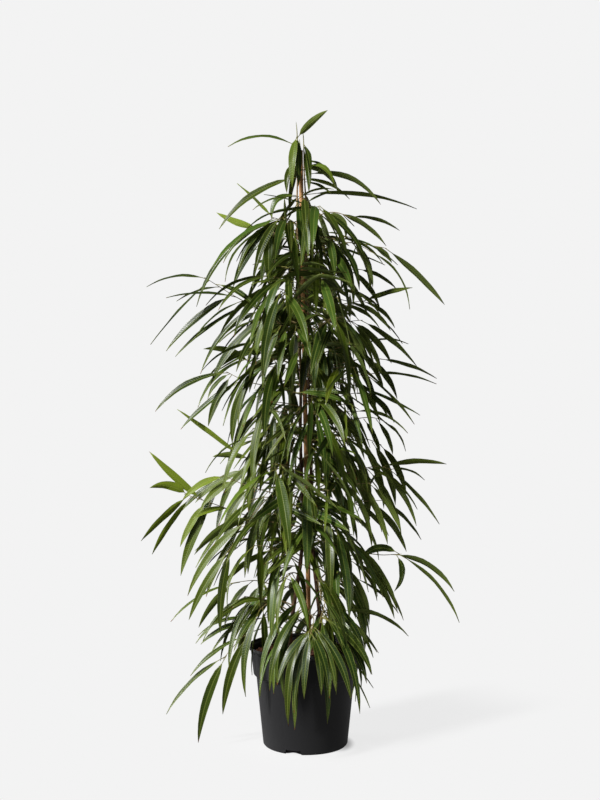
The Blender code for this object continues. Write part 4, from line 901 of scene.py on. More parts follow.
def newObject(name, data):
    thing = bpy.data.objects.new(name, data)
    bpy.context.scene.collection.objects.link(thing)
    return thing


def meshOf(name, shape):
    mesh = bpy.data.meshes.new(name)
    shape.to_mesh(mesh)
    shape.free()
    return mesh


def pointMesh(name, positions, edges=(), fields={}):
    mesh = bpy.data.meshes.new(name)
    mesh.from_pydata([tuple(position) for position in positions], edges, [])
    for label, values in fields.items():
        if isinstance(values[0], float):
            mesh.attributes.new(label, "FLOAT", "POINT").data.foreach_set("value", values)
        else:
            flat = [number for value in values for number in value]
            mesh.attributes.new(label, "FLOAT_VECTOR", "POINT").data.foreach_set("vector", flat)
    return mesh


# Geometry trees: inputs named as in the piece's settings, and the result taken as a plain mesh

def newGeometryTree(name, shape):
    tree = bpy.data.node_groups.new(name, "GeometryNodeTree")
    tree.is_modifier = True
    for way in ("INPUT", "OUTPUT"):
        tree.interface.new_socket("Geometry", in_out=way, socket_type="NodeSocketGeometry")
    for label, value in shape.items():
        kind = "NodeSocketInt" if isinstance(value, int) else "NodeSocketFloat"
        tree.interface.new_socket(label, in_out="INPUT", socket_type=kind).default_value = value
    tree.interface.new_socket("Material", in_out="INPUT", socket_type="NodeSocketMaterial")
    outputs = addNode(tree, "NodeGroupInput").outputs
    return tree, {output.name: Field(tree, output) for output in outputs if output.name}


def endGeometryTree(geometry, material, smooth=True):
    tree = geometry.tree
    if smooth:
        geometry = made(tree, "GeometryNodeSetShadeSmooth", {"Geometry": geometry})
    painted = made(tree, "GeometryNodeSetMaterial", {"Geometry": geometry, "Material": material})
    addNode(tree, "NodeGroupOutput", {0: painted})


def pointNumber(tree, name):
    return made(tree, "GeometryNodeInputNamedAttribute", {"Name": name}, data_type="FLOAT")


def pointVector(tree, name):
    node = addNode(tree, "GeometryNodeInputNamedAttribute", {"Name": name}, data_type="FLOAT_VECTOR")
    return VectorField(tree, node.outputs[0])


def pointPlace(tree):
    return VectorField(tree, addNode(tree, "GeometryNodeInputPosition").outputs[0])


def stored(geometry, name, value, kind="FLOAT", domain="POINT"):
    return made(geometry.tree, "GeometryNodeStoreNamedAttribute", {
        "Geometry": geometry, "Name": name, "Value": value}, data_type=kind, domain=domain)


def moved(geometry, **where):
    return made(geometry.tree, "GeometryNodeSetPosition", {"Geometry": geometry, **where})


def realized(geometry):
    return made(geometry.tree, "GeometryNodeRealizeInstances", {"Geometry": geometry})


def evenCurve(curve, step):
    return made(curve.tree, "GeometryNodeResampleCurve", {"Curve": curve, "Length": step}, mode="LENGTH")


def tubeOn(curve, sides, radius):
    circle = made(curve.tree, "GeometryNodeCurvePrimitiveCircle", {"Resolution": sides, "Radius": 1.0})
    return realized(made(curve.tree, "GeometryNodeCurveToMesh", {
        "Curve": curve, "Profile Curve": circle, "Scale": radius, "Fill Caps": True}))


def grownMesh(name, seedMesh, tree, inputs):
    seed = newObject(name + "_seed", seedMesh)
    modifier = seed.modifiers.new("Grow", "NODES")
    modifier.node_group = tree
    for item in tree.interface.items_tree:
        if item.in_out == "INPUT" and item.name in inputs:
            modifier[item.identifier] = inputs[item.name]
    mesh = bpy.data.meshes.new_from_object(seed.evaluated_get(bpy.context.evaluated_depsgraph_get()))
    seed.modifiers.clear()
    bpy.data.objects.remove(seed)
    mesh.name = name
    return newObject(name, mesh)


# Helpers for materials

def newMaterial(name):
    material = bpy.data.materials.new(name)
    material.use_nodes = True
    return material, material.node_tree


def finished(material, inputs):
    tree = material.node_tree
    for label, value in inputs.items():
        feed(tree, tree.nodes["Principled BSDF"].inputs[label], value)
    return material


def blended(factor, first, second, mode="MIX"):
    tree = next(value.tree for value in (factor, first, second) if isinstance(value, Field))
    node = addNode(tree, "ShaderNodeMix", {"Factor": factor}, data_type="RGBA", blend_type=mode)
    for label, value in (("A", first), ("B", second)):
        socket = next(s for s in node.inputs if s.name == label and s.type == "RGBA")
        feed(tree, socket, value if isinstance(value, Field) else (*value, 1.0))
    return Field(tree, next(s for s in node.outputs if s.type == "RGBA"))


def numberOn(tree, name):
    return Field(tree, addNode(tree, "ShaderNodeAttribute", attribute_name=name).outputs["Fac"])


def vectorOn(tree, name):
    return VectorField(tree, addNode(tree, "ShaderNodeAttribute", attribute_name=name).outputs["Vector"])


def objectPlace(tree):
    return VectorField(tree, addNode(tree, "ShaderNodeTexCoord").outputs["Object"])


def cameraRay(tree):
    return Field(tree, addNode(tree, "ShaderNodeLightPath").outputs["Is Camera Ray"])


def bumped(height, strength, distance):
    return made(height.tree, "ShaderNodeBump", {
        "Height": height, "Strength": strength, "Distance": distance})


# Leaves

leafLook = {
    "darkGreen": (0.0200, 0.0345, 0.0012), "midGreen": (0.0610, 0.0950, 0.0030),
    # the fresh green is a paler young leaf, and in part painted light on and through the leaves
    "freshAndLitGreen": (0.172, 0.240, 0.010), "underGreen": (0.074, 0.105, 0.017),
    # the edge green is a pale margin, and in part a painted highlight along it
    "warmTint": (1.08, 0.96, 0.70), "coolTint": (0.74, 1.03, 3.80),
    "ribGreen": (0.270, 0.320, 0.060), "edgeGreenAndGlint": (0.260, 0.275, 0.050),
    "stalkTan": (0.190, 0.180, 0.040), "dryBrown": (0.240, 0.090, 0.025),
    "ribColour": 0.38, "edgeAndGlintColour": 0.34, "veinColour": 0.09, "underVeinColour": 0.07,
    "ribWidth": 1.5, "edgeWidth": 1.4, "veinSpacing": 4.6, "veinSlant": -0.55,  # in mm
    "cloudScale": 45.0, "grainScale": 380.0,
    "roughTop": 0.32, "roughUnder": 0.65, "gloss": 0.29,
    "veinRelief": -0.4, "grainRelief": 0.3, "ribRelief": -1.0, "bump": 0.42, "bumpDepth": 0.0007,
}


def leafMaterial():
    look = leafLook
    material, tree = newMaterial("leafGreen")
    along, across, half = vectorOn(tree, "leafPlace").parts()
    tone, freshAndLit, dry = vectorOn(tree, "leafKind").parts()
    top = numberOn(tree, "leafTop").to("GREATER_THAN", 0.5)
    place = objectPlace(tree)
    fromRib = abs(across) * half
    fromEdge = half - fromRib
    cloud = noiseOf(place, look["cloudScale"], 3.0)
    patchy = cloud - 0.5

    # how dark the green is comes from the leaf's tone, which carries painted shade for some leaves, and from
    # patches of cloud
    shade = tone * 0.75 + (cloud - 0.35) * 0.6
    colour = blended(eased(shade, 0.0, 1.0), look["darkGreen"], look["midGreen"])
    # some leaves are cooler in colour than others, and each is so in patches
    hue = (tone * 7.31).to("FRACT") ** 0.42 + patchy * 0.8
    tint = blended(eased(hue, 0.0, 1.0), look["warmTint"], look["coolTint"])
    colour = blended(1.0, colour, tint, "MULTIPLY")
    # fresh leaves are a paler green, and the same green stands in part for painted light on and through the
    # leaves
    colour = blended(freshAndLit, colour, look["freshAndLitGreen"])

    # side veins leave the midrib at a wide angle and run out to the edge
    run = along * numberOn(tree, "leafLength") + fromRib * look["veinSlant"]
    vein = eased((run * (math.tau / look["veinSpacing"])).to("SINE"), 0.55, 1.0)
    colour = blended(vein * look["veinColour"], colour, look["ribGreen"])
    under = blended(freshAndLit, look["underGreen"], look["freshAndLitGreen"])
    under = blended(vein * look["underVeinColour"], under, look["ribGreen"])
    colour = blended(top, under, colour)

    rib = eased(fromRib, 0.0, look["ribWidth"], 1.0, 0.0)
    # a pale line along each edge, partly the margin's own colour and partly a painted highlight
    edge = eased(fromEdge, 0.0, look["edgeWidth"], 1.0, 0.0)
    petiole = leafSizes["petiole"]
    stalk = eased(along, petiole - 0.02, petiole + 0.03, 1.0, 0.0)
    dried = eased(along + patchy * 0.05, 1.0 - dry, 1.012 - dry)
    for share, paint in ((rib * look["ribColour"], "ribGreen"), (edge * look["edgeAndGlintColour"], "edgeGreenAndGlint"),
                         (stalk, "stalkTan"), (dried, "dryBrown")):
        colour = blended(share, colour, look[paint])

    grain = noiseOf(place, look["grainScale"], 2.0)
    rough = mixed(top, look["roughUnder"], look["roughTop"]) + patchy * 0.22 + dried * 0.3 + freshAndLit * 0.18
    relief = vein * look["veinRelief"] + grain * look["grainRelief"] + rib * look["ribRelief"]
    return finished(material, {
        "Base Color": colour, "Roughness": rough, "Specular IOR Level": look["gloss"],
        "Normal": bumped(relief, look["bump"], look["bumpDepth"])})


bladeShape = {
    "Sections": 10, "Thickness": 0.00035, "Rib": 0.0006, "Fold": 0.267, "Puff": 0.07,
    "Wave": 0.10, "Wave Count": 2.3, "Stalk Radius": 0.00075, "Petiole Share": leafSizes["petiole"],
    "Peak": 0.52, "Taper": 0.84, "Least Half": 0.00025, "Twist From": 0.35, "Wave Skew": 0.9,
}


def bladeTree():
    tree, sizes = newGeometryTree("leafBlades", bladeShape)
    petiole, stalk = sizes["Petiole Share"], sizes["Stalk Radius"]
    tube = made(tree, "GeometryNodeMeshCylinder", {
        "Vertices": 8, "Side Segments": sizes["Sections"], "Radius": 1.0, "Depth": 1.0})
    unit = stored(tube, "ringPlace", pointPlace(tree), "FLOAT_VECTOR")
    blades = realized(made(tree, "GeometryNodeInstanceOnPoints", {
        "Points": sizes["Geometry"], "Instance": unit}))

    # the unit tube's points: how far along the leaf, how far across it and which face
    ringX, ringY, ringZ = pointVector(tree, "ringPlace").parts()
    share = ringZ + 0.5
    rest = 1.0 - share
    outward = ringX.to("SIGN") * -1.0
    width = abs(ringX) ** 1.5
    inner = 1.0 - width
    across = outward * width
    faceUp = (ringY * 100.0).to("MINIMUM", 1.0).to("MAXIMUM", -1.0)
    beneath = 0.5 - faceUp * 0.5

    # the spine, with the blade's own directions on it
    controls = [pointVector(tree, name) for name in ("rootPoint", "bendOne", "bendTwo", "tipPoint")]
    restSquare, shareSquare = rest * rest, share * share
    weights = [restSquare * rest, restSquare * share * 3.0, shareSquare * rest * 3.0, shareSquare * share]
    spine = summed(*[control.scaled(weight) for control, weight in zip(controls, weights)])
    runs = [far - near for near, far in zip(controls, controls[1:])]
    runWeights = [restSquare, rest * share * 2.0, shareSquare]
    tangent = summed(*[run.scaled(weight) for run, weight in zip(runs, runWeights)]).to("NORMALIZE")
    flatSide = pointVector(tree, "sideAxis")
    flatNormal = flatSide.to("CROSS_PRODUCT", tangent)
    twist = pointNumber(tree, "twistTurn") * (share - sizes["Twist From"])
    roll = pointNumber(tree, "rollTurn") + twist
    cosine, sine = roll.to("COSINE"), roll.to("SINE")
    side = flatSide.scaled(cosine) + flatNormal.scaled(sine)
    normal = flatNormal.scaled(cosine) - flatSide.scaled(sine)

    # the outline, widest where its two powers say
    blade = ((share - petiole) / (1.0 - petiole)).to("MAXIMUM", 0.0001).to("MINIMUM", 0.9999)
    widest = sizes["Peak"] / (sizes["Peak"] + sizes["Taper"])
    outline, most = [value ** sizes["Peak"] * (1.0 - value) ** sizes["Taper"] for value in (blade, widest)]
    half = (pointNumber(tree, "halfBlade") * (outline / most)).to("MAXIMUM", sizes["Least Half"])
    flat = eased(share, petiole - 0.03, petiole + 0.06)

    # the section: folded at the midrib, puffed between rib and edge, rippled along the edge
    fold = inner * half * sizes["Fold"]
    puff = inner * width * half * (sizes["Puff"] * 4.0)
    depth = beneath * (sizes["Thickness"] + inner ** 3.0 * sizes["Rib"])
    turn = share * sizes["Wave Count"] * math.tau
    ripple = summed(turn, pointNumber(tree, "wavePhase"), outward * sizes["Wave Skew"]).to("SINE")
    ripple = ripple * (width * width) * (half * sizes["Wave"])
    rise = puff + ripple + (fold + depth) * -1.0
    reach = mixed(flat, ringX * stalk * -1.0, across * half)
    lift = mixed(flat, ringY * stalk, rise)

    halfInMm = half * 1000.0
    leafPlace = made(tree, "ShaderNodeCombineXYZ", {0: share, 1: across, 2: halfInMm})
    blades = stored(blades, "leafPlace", leafPlace, "FLOAT_VECTOR")
    blades = stored(blades, "leafTop", 1.0 - beneath)
    blades = stored(blades, "sharp_edge", abs(ringX).to("GREATER_THAN", 0.99), "BOOLEAN", "EDGE")
    blades = moved(blades, Position=spine + side.scaled(reach) + normal.scaled(lift))
    endGeometryTree(blades, sizes["Material"])
    return tree


# How fresh and bright a leaf is, partly its paler young green and partly painted light on and through it:
# patches of the plant by x, z, radius in mm and how much, and single leaves by the place of their tip
freshAndLitPatches = [
    (-240, 450, 95, 0.95), (-215, 350, 85, 0.50), (-140, 500, 90, 0.30), (-120, 612, 60, 0.18),
    (-130, 300, 90, 0.18), (-60, 330, 90, 0.16), (110, 470, 60, 0.20), (-170, 120, 90, 0.12),
]
freshAndLitTips = [
    (-168, 987, 0.85), (-126, 1032, 0.75), (-190, 727, 0.60), (-24, 1016, 0.35), (40, 1156, 0.20),
    (83, 1008, 0.45), (52, 1018, 0.35), (206, 985, 0.20), (-285, 538, 0.95),
    (187, 734, 0.35), (258, 515, 0.30), (-238, 615, 0.80),
]
# Painted shade: leaves over the front of the pot and on the far left are given darker tones than the rest
paintedShadeOnLeaves = {"inFrontOf": -110.0, "below": 330.0, "tones": (-0.35, 0.05),
               "leftOf": -55.0, "leftTones": (-0.255, -0.195)}
leafChances = {
    "freshAndLitSpread": (0.7, 1.15), "strayFresh": 0.12, "twist": 34.0,
    "dryTips": (0.0, 0.0, 0.0, 0.012, 0.02, 0.035), "freshAndLitBehind": 40.0, "freshAndLitFade": (0.5, 1.2),
}


# how fresh a leaf is, which is partly painted light, from the patches and tips above
def freshAndLitShareOf(leaf):
    middle = leaf.base.lerp(leaf.tip, 0.5)
    best = 0.0
    for x, z, radius, amount in freshAndLitPatches:
        away = math.hypot(middle.x - x, middle.z - z) / radius
        if middle.y < leafChances["freshAndLitBehind"]:
            best = max(best, amount * (1 - easeStep(away, *leafChances["freshAndLitFade"])))
    for x, z, amount in freshAndLitTips:
        if math.hypot(leaf.tip.x - x, leaf.tip.z - z) < 3:
            best = max(best, amount)
    return best


def toneOf(leaf, drawn):
    paintedShade = paintedShadeOnLeaves
    low, high = 0.0, 1.0
    # painted shade: leaves low over the front of the pot, and those on the far left, take darker tones
    if leaf.base.y < paintedShade["inFrontOf"] and leaf.base.z < paintedShade["below"]:
        low, high = paintedShade["tones"]
    elif leaf.base.x < paintedShade["leftOf"]:
        low, high = paintedShade["leftTones"]
    return low + drawn * (high - low)


def buildLeaves(name, leaves, tree, material):
    draw = random.Random(name)
    chances = leafChances
    rows = []
    for leaf in leaves:
        root, bendOne, bendTwo, tip = [point * mm for point in spineControls(leaf)]
        stray = freshAndLitShareOf(leaf) * draw.uniform(*chances["freshAndLitSpread"])
        freshAndLit = min(1.0, stray + chances["strayFresh"] * draw.random() ** 3)
        dryTip = draw.choice(chances["dryTips"])
        rows.append({
            "rootPoint": root, "bendOne": bendOne, "bendTwo": bendTwo, "tipPoint": tip,
            "sideAxis": leafSide(leaf), "leafKind": (toneOf(leaf, draw.random()), freshAndLit, dryTip),
            "rollTurn": math.radians(leaf.roll), "halfBlade": leaf.width / 2 * mm,
            "twistTurn": math.radians(draw.uniform(-chances["twist"], chances["twist"])),
            "wavePhase": draw.uniform(0, math.tau), "leafLength": (leaf.tip - leaf.base).length})
    fields = {label: [row[label] for row in rows] for label in rows[0]}
    seeds = pointMesh(name, [(0, 0, 0)] * len(leaves), (), fields)
    return grownMesh(name, seeds, tree, {**bladeShape, "Material": material})


# Stems and twigs

woodLook = {
    "stemBrown": (0.160, 0.075, 0.036), "stemDark": (0.042, 0.019, 0.012),
    "twigTan": (0.340, 0.225, 0.100), "twigGreen": (0.240, 0.250, 0.070),
    "barkFrom": (0.0016, 0.0030),  # radius in metres over which a twig's skin turns to bark
    "grainScale": 420.0, "patchScale": 60.0, "bump": 0.5, "bumpDepth": 0.0008,
}
rodShape = {"Sides": 10, "Step": 0.004, "Knobs": 0.10, "Knob Scale": 70.0}
stemFinish = {"radius": 0.97, "slimTop": 0.34, "slimFrom": 900.0, "greenFrom": 1040.0, "budRadius": 0.3}
twigFinish = {"root": 0.62, "tip": 0.38, "green": 0.35, "points": 7}


def woodMaterial():
    look = woodLook
    material, tree = newMaterial("stemBark")
    thick, green, _ = vectorOn(tree, "rodKind").parts()
    place = objectPlace(tree)
    grain = noiseOf(place * (1.0, 1.0, 0.22), look["grainScale"], 4.0, 0.6)
    patch = noiseOf(place, look["patchScale"], 3.0)
    bark = blended(eased(patch, 0.3, 0.7), look["stemDark"], look["stemBrown"])
    young = blended(green, look["twigTan"], look["twigGreen"])
    colour = blended(eased(thick, *look["barkFrom"]), young, bark)
    return finished(material, {
        "Base Color": blended(eased(grain, 0.35, 0.75) * 0.4, colour, look["stemDark"]),
        "Roughness": eased(grain, 0.2, 0.8, 0.55, 0.8),
        "Normal": bumped(grain, look["bump"], look["bumpDepth"])})


def rodTree():
    tree, sizes = newGeometryTree("barkRods", rodShape)
    line = made(tree, "GeometryNodeMeshToCurve", {"Mesh": sizes["Geometry"]})
    bent = made(tree, "GeometryNodeCurveSplineType", {"Curve": line}, spline_type="CATMULL_ROM")
    knob = noiseOf(pointPlace(tree), sizes["Knob Scale"], 2.0)
    swell = (knob - 0.5) * (sizes["Knobs"] * 4.0) + 1.0
    thick = pointVector(tree, "rodKind").parts()[0]
    endGeometryTree(tubeOn(evenCurve(bent, sizes["Step"]), sizes["Sides"], thick * swell), sizes["Material"])
    return tree


def buildRods(name, rods, tree, material):
    places, edges, kinds = [], [], []
    for points, radii, greens in rods:
        edges += [(len(places) + i, len(places) + i + 1) for i in range(len(points) - 1)]
        places += [point * mm for point in points]
        kinds += [(radius * mm, green, 0.0) for radius, green in zip(radii, greens)]
    seeds = pointMesh(name, places, edges, {"rodKind": kinds})
    return grownMesh(name, seeds, tree, {**rodShape, "Material": material})


def shootRod(shoot):
    finish = twigFinish
    points = smoothPath(shoot.points, finish["points"])
    count = len(points) - 1
    root, tip = shootSizes["rootRadius"] * finish["root"], shootSizes["tipRadius"] * finish["tip"]
    radii = [root + (tip - root) * i / count for i in range(count + 1)]
    return points, radii, [finish["green"]] * len(points)


def stemRod(name, shoot):
    finish, top = stemFinish, shoot.points[-1].z
    radii = [stemRadius(name, point.z)
             * (finish["radius"] - finish["slimTop"] * easeStep(point.z, finish["slimFrom"], top))
             for point in shoot.points[:-1]]
    greens = [easeStep(point.z, finish["greenFrom"], top) for point in shoot.points]
    return shoot.points, [*radii, finish["budRadius"]], greens


# Pot: one closed profile turned round, with arcs at its corners, then its notches and drains cut

potLook = {
    "black": (0.0175, 0.0175, 0.0185), "dust": (0.045, 0.042, 0.038), "rough": 0.46, "gloss": 0.34,
    "cloudScale": 14.0, "scuffScale": 90.0, "scuffed": (0.62, 0.74), "dusty": 0.35,
    "grainScale": 1400.0, "bump": 0.12, "bumpDepth": 0.0004,
}
potFinish = {
    "outerRound": 1.2, "innerRound": 1.0, "lipRound": 0.7, "lipSteps": 8, "sharpFrom": 32.0,
    "roundShare": 0.4,  # of an edge, the most that a rounding takes
    "notchTaper": 0.84, "notchRound": 1.2, "drainSides": 20, "drainCut": 12.0,
}


def insetOutline(profile, distance):
    lines = []
    for start, end in zip(profile, profile[1:]):
        run = (Vector(end) - Vector(start)).normalized()
        lines.append((Vector(start) + Vector((run.y, -run.x)) * distance, run))
    corners = []
    for (start, run), (other, otherRun) in zip(lines, lines[1:]):
        share = (other - start).cross(otherRun) / run.cross(otherRun)
        corners.append(tuple(start + run * share))
    return corners


def roundedOutline(corners, radius, steps):
    rounded = [Vector(corners[0])]
    for before, corner, after in zip(corners, corners[1:], corners[2:]):
        before, corner, after = Vector(before), Vector(corner), Vector(after)
        back, ahead = before - corner, after - corner
        cut = min(radius, back.length * potFinish["roundShare"], ahead.length * potFinish["roundShare"])
        first, last = corner + back.normalized() * cut, corner + ahead.normalized() * cut
        for i in range(steps + 1):
            t = i / steps
            rounded.append(first * (1 - t) ** 2 + corner * 2 * t * (1 - t) + last * t * t)
    rounded.append(Vector(corners[-1]))
    return rounded


def turnedPiece(name, outline, steps):
    # a ring for each point of the outline, or one point where it meets the axis
    points, rings, faces = [], [], []
    for p in outline:
        count = steps if p.x > tiny else 1
        rings.append(range(len(points), len(points) + count))
        points += [(facing(360 * j / steps) * p.x + upward * p.y) * mm for j in range(count)]
    for near, far in zip(rings, rings[1:]):
        for j in range(steps):
            corners = [ring[k % len(ring)] for ring, k in ((near, j), (far, j), (far, j + 1), (near, j + 1))]
            faces.append(list(dict.fromkeys(corners)))
    mesh = bpy.data.meshes.new(name)
    mesh.from_pydata(points, [], faces)
    return newObject(name, mesh)


def notchCutter(azimuth):
    sizes = potSizes
    tall = sizes["notchHeight"] * 1.5
    middle = sizes["notchHeight"] - tall / 2
    turn = Quaternion(upward, math.radians(azimuth))
    shape = bmesh.new()
    bmesh.ops.create_cube(shape, size=1)
    for vert in shape.verts:
        narrow = potFinish["notchTaper"] if vert.co.z > 0 else 1.0
        local = Vector((vert.co.x * sizes["notchDepth"], vert.co.y * sizes["notchWidth"] * narrow,
                        vert.co.z * tall))
        vert.co = (facing(azimuth) * sizes["footRadius"] + turn @ local + upward * middle) * mm
    level = [edge for edge in shape.edges if abs(edge.verts[0].co.z - edge.verts[1].co.z) < tiny * mm]
    bmesh.ops.bevel(shape, geom=level, offset=potFinish["notchRound"] * mm, segments=2, affect="EDGES")
    return shape


def drainCutter(azimuth):
    radius = potSizes["drainRadius"] * mm
    middle = (potSizes["channelInner"] + potSizes["channelOuter"]) / 2
    shape = bmesh.new()
    bmesh.ops.create_cone(shape, cap_ends=True, segments=potFinish["drainSides"], radius1=radius,
                          radius2=radius, depth=potFinish["drainCut"] * mm)
    for vert in shape.verts:
        vert.co += (facing(azimuth) * middle + upward * potSizes["channelHeight"]) * mm
    return shape


def cutFrom(piece, shapes):
    for shape in shapes:
        modifier = piece.modifiers.new("Cut", "BOOLEAN")
        modifier.operation = "DIFFERENCE"
        modifier.solver = "EXACT"
        modifier.object = newObject("cutter", meshOf("cutter", shape))
    evaluated = piece.evaluated_get(bpy.context.evaluated_depsgraph_get())
    mesh = bpy.data.meshes.new_from_object(evaluated)
    for modifier in list(piece.modifiers):
        cutter = modifier.object
        piece.modifiers.remove(modifier)
        bpy.data.objects.remove(cutter)
    piece.data = mesh


def potMaterial():
    look = potLook
    material, tree = newMaterial("potPlastic")
    place = objectPlace(tree)
    cloud = noiseOf(place, look["cloudScale"], 3.0)
    scuff = eased(noiseOf(place * (1.0, 1.0, 6.0), look["scuffScale"], 5.0, 0.7), *look["scuffed"])
    dust = scuff * eased(cloud, 0.45, 0.7, 0.0, look["dusty"])
    return finished(material, {
        "Base Color": blended(dust, look["black"], look["dust"]),
        "Roughness": (cloud - 0.5) * 0.15 + look["rough"],
        "Normal": bumped(noiseOf(place, look["grainScale"], 2.0), look["bump"], look["bumpDepth"]),
        "Specular IOR Level": look["gloss"]})


def buildPot():
    sizes, finish = potSizes, potFinish
    lipRadius, wall, height = sizes["lipRadius"], sizes["wall"], sizes["height"]
    outside = roundedOutline(potOutline, finish["outerRound"], sizes["cornerSteps"])
    bore = [(lipRadius - wall, height), *insetOutline(potOutline, wall), (0.0, wall)]
    inside = roundedOutline(bore, finish["innerRound"], sizes["cornerSteps"])
    drop, steps = finish["lipRound"], finish["lipSteps"]
    lipTop = [Vector((lipRadius - wall * (0.5 + 0.5 * math.cos(turn)), height - drop + drop * math.sin(turn)))
              for turn in (math.pi * i / steps for i in range(1, steps))]
    outline = [p for p in [*reversed(inside), *lipTop, *outside[1:]] if p.y <= height]
    pot = turnedPiece("pot_shell", outline, sizes["steps"])
    shapes = [notchCutter(sizes["notchAzimuth"] + 360 / sizes["notches"] * i)
              for i in range(sizes["notches"])]
    shapes += [drainCutter(sizes["notchAzimuth"] + 360 / sizes["drains"] * (i + 0.5))
               for i in range(sizes["drains"])]
    cutFrom(pot, shapes)
    pot.data.shade_smooth()
    pot.data.set_sharp_from_angle(angle=math.radians(finish["sharpFrom"]))
    pot.data.materials.append(potMaterial())
    return pot


# Soil: a lumpy bed, and chips of bark strewn over it

soilLook = {
    "bark": (0.150, 0.058, 0.032), "barkPale": (0.260, 0.120, 0.065), "peat": (0.030, 0.014, 0.009),
    "rough": 0.95, "gloss": 0.25, "crumbScale": 260.0, "patchScale": 70.0, "bump": 0.9, "bumpDepth": 0.002,
}
soilFinish = {
    "clear": 0.6, "edgeDrop": 4.0, "shoulder": 0.2, "floorGap": 3.0, "rings": 28, "steps": 96,
    "crumbs": ((1.4, 7.0), (0.6, 2.6)),  # height and width of the finer lumps, in mm
}
chipShape = {"Density": 52000.0, "Size": 0.0046, "Ruffle": 0.35, "Ruffle Scale": 330.0, "Seed": 4}
chipSpread = {"sizes": ((0.45, 0.35, 0.25), (1.35, 0.85, 0.60)), "tilt": 0.7, "depth": 7.0, "margin": 10.0}


def soilMaterial():
    look = soilLook
    material, tree = newMaterial("pottingBark")
    place = objectPlace(tree)
    crumb = noiseOf(place, look["crumbScale"], 5.0, 0.65)
    colour = blended(eased(noiseOf(place, look["patchScale"], 3.0), 0.3, 0.7), look["bark"], look["peat"])
    return finished(material, {
        "Base Color": blended(eased(crumb, 0.55, 0.75, 0.0, 0.6), colour, look["barkPale"]),
        "Roughness": look["rough"], "Specular IOR Level": look["gloss"],
        "Normal": bumped(crumb, look["bump"], look["bumpDepth"])})


def buildSoil(material):
    finish = soilFinish
    inside = insetOutline(potOutline, potSizes["wall"] + finish["clear"])
    top, edge = soilSizes["top"], soilSizes["top"] - finish["edgeDrop"]
    floor = potSizes["channelHeight"] + finish["floorGap"]
    rim, count = inside[1][0], finish["rings"]
    outline = [Vector((rim * i / count, top)) for i in range(count)]
    outline.append(Vector((rim + (inside[2][0] - rim) * finish["shoulder"], edge)))
    outline += [Vector(p) for p in (inside[2], inside[3], (inside[4][0], floor), (0.0, floor))]
    soil = turnedPiece("soil_bed", outline, finish["steps"])
    for vert in soil.data.vertices:
        if vert.co.z > (edge + 1.0) * mm:
            flat = Vector((vert.co.x, vert.co.y, 0))
            rise = soilSizes["lump"] * noise.noise(flat / (soilSizes["lumpSize"] * mm))
            rise += sum(tall * noise.noise(flat / (wide * mm)) for tall, wide in finish["crumbs"])
            vert.co.z += rise * mm
    soil.data.shade_smooth()
    soil.data.materials.append(material)
    return soil


def randomVector(tree, low, high):
    node = addNode(tree, "FunctionNodeRandomValue", {"Min": low, "Max": high}, data_type="FLOAT_VECTOR")
    return VectorField(tree, node.outputs[0])


def chipTree():
    tree, sizes = newGeometryTree("barkChips", chipShape)
    place = pointPlace(tree)
    onTop = place.parts()[2].to("GREATER_THAN", (soilSizes["top"] - chipSpread["depth"]) * mm)
    fromAxis = (place * (1.0, 1.0, 0.0)).measured("LENGTH")
    within = fromAxis.to("LESS_THAN", (potSizes["bandTopRadius"] - chipSpread["margin"]) * mm)
    strewn = made(tree, "GeometryNodeDistributePointsOnFaces", {
        "Mesh": sizes["Geometry"], "Selection": onTop * within, "Density": sizes["Density"],
        "Seed": sizes["Seed"]})
    lump = made(tree, "GeometryNodeMeshIcoSphere", {"Subdivisions": 1, "Radius": 1.0})
    tilt = chipSpread["tilt"]
    chips = realized(made(tree, "GeometryNodeInstanceOnPoints", {
        "Points": strewn, "Instance": lump,
        "Rotation": randomVector(tree, (-tilt, -tilt, 0.0), (tilt, tilt, math.tau)),
        "Scale": randomVector(tree, *chipSpread["sizes"]).scaled(sizes["Size"])}))
    rough = addNode(tree, "ShaderNodeTexNoise", {
        "Vector": pointPlace(tree), "Scale": sizes["Ruffle Scale"]})
    shift = VectorField(tree, rough.outputs["Color"]) - (0.5, 0.5, 0.5)
    chips = moved(chips, Offset=shift.scaled(sizes["Size"] * sizes["Ruffle"] * 4.0))
    endGeometryTree(chips, sizes["Material"], smooth=False)
    return tree


def buildChips(soil, material):
    return grownMesh("bark_chips", soil.data.copy(), chipTree(), {**chipShape, "Material": material})


# Cane

caneLook = {
    "tan": (0.500, 0.215, 0.070), "pale": (0.680, 0.380, 0.170), "dark": (0.130, 0.055, 0.024),
    "gloss": 0.3, "fibreScale": 900.0, "patchScale": 60.0, "ringFade": (0.0004, 0.0030), "ringDark": 0.8,
    "bump": 0.25, "bumpDepth": 0.0006,
}
caneShape = {
    "Radius": 0.0042, "Joint Rise": 0.00045, "Joint Gap": 0.154, "First Joint": 0.168, "Step": 0.002,
    "Joint Reach": 0.0045, "Groove": -0.0004, "Groove Reach": 0.0016, "Waist": -0.0003,
    "Waist Reach": 0.07, "Sides": 20,
}


def caneMaterial():
    look = caneLook
    material, tree = newMaterial("bambooCane")
    place = objectPlace(tree)
    fibres = noiseOf(place * (1.0, 1.0, 0.03), look["fibreScale"], 3.0)
    patch = noiseOf(place * (1.0, 1.0, 0.3), look["patchScale"], 3.0)
    ring = eased(numberOn(tree, "jointAway"), *look["ringFade"], 1.0, 0.0)
    colour = blended(eased(patch, 0.3, 0.7), look["tan"], look["pale"])
    colour = blended(eased(fibres, 0.4, 0.8, 0.0, 0.3), colour, look["dark"])
    return finished(material, {
        "Base Color": blended(ring * look["ringDark"], colour, look["dark"]),
        "Roughness": eased(patch, 0.2, 0.8, 0.5, 0.7),
        "Normal": bumped(fibres, look["bump"], look["bumpDepth"]), "Specular IOR Level": look["gloss"]})


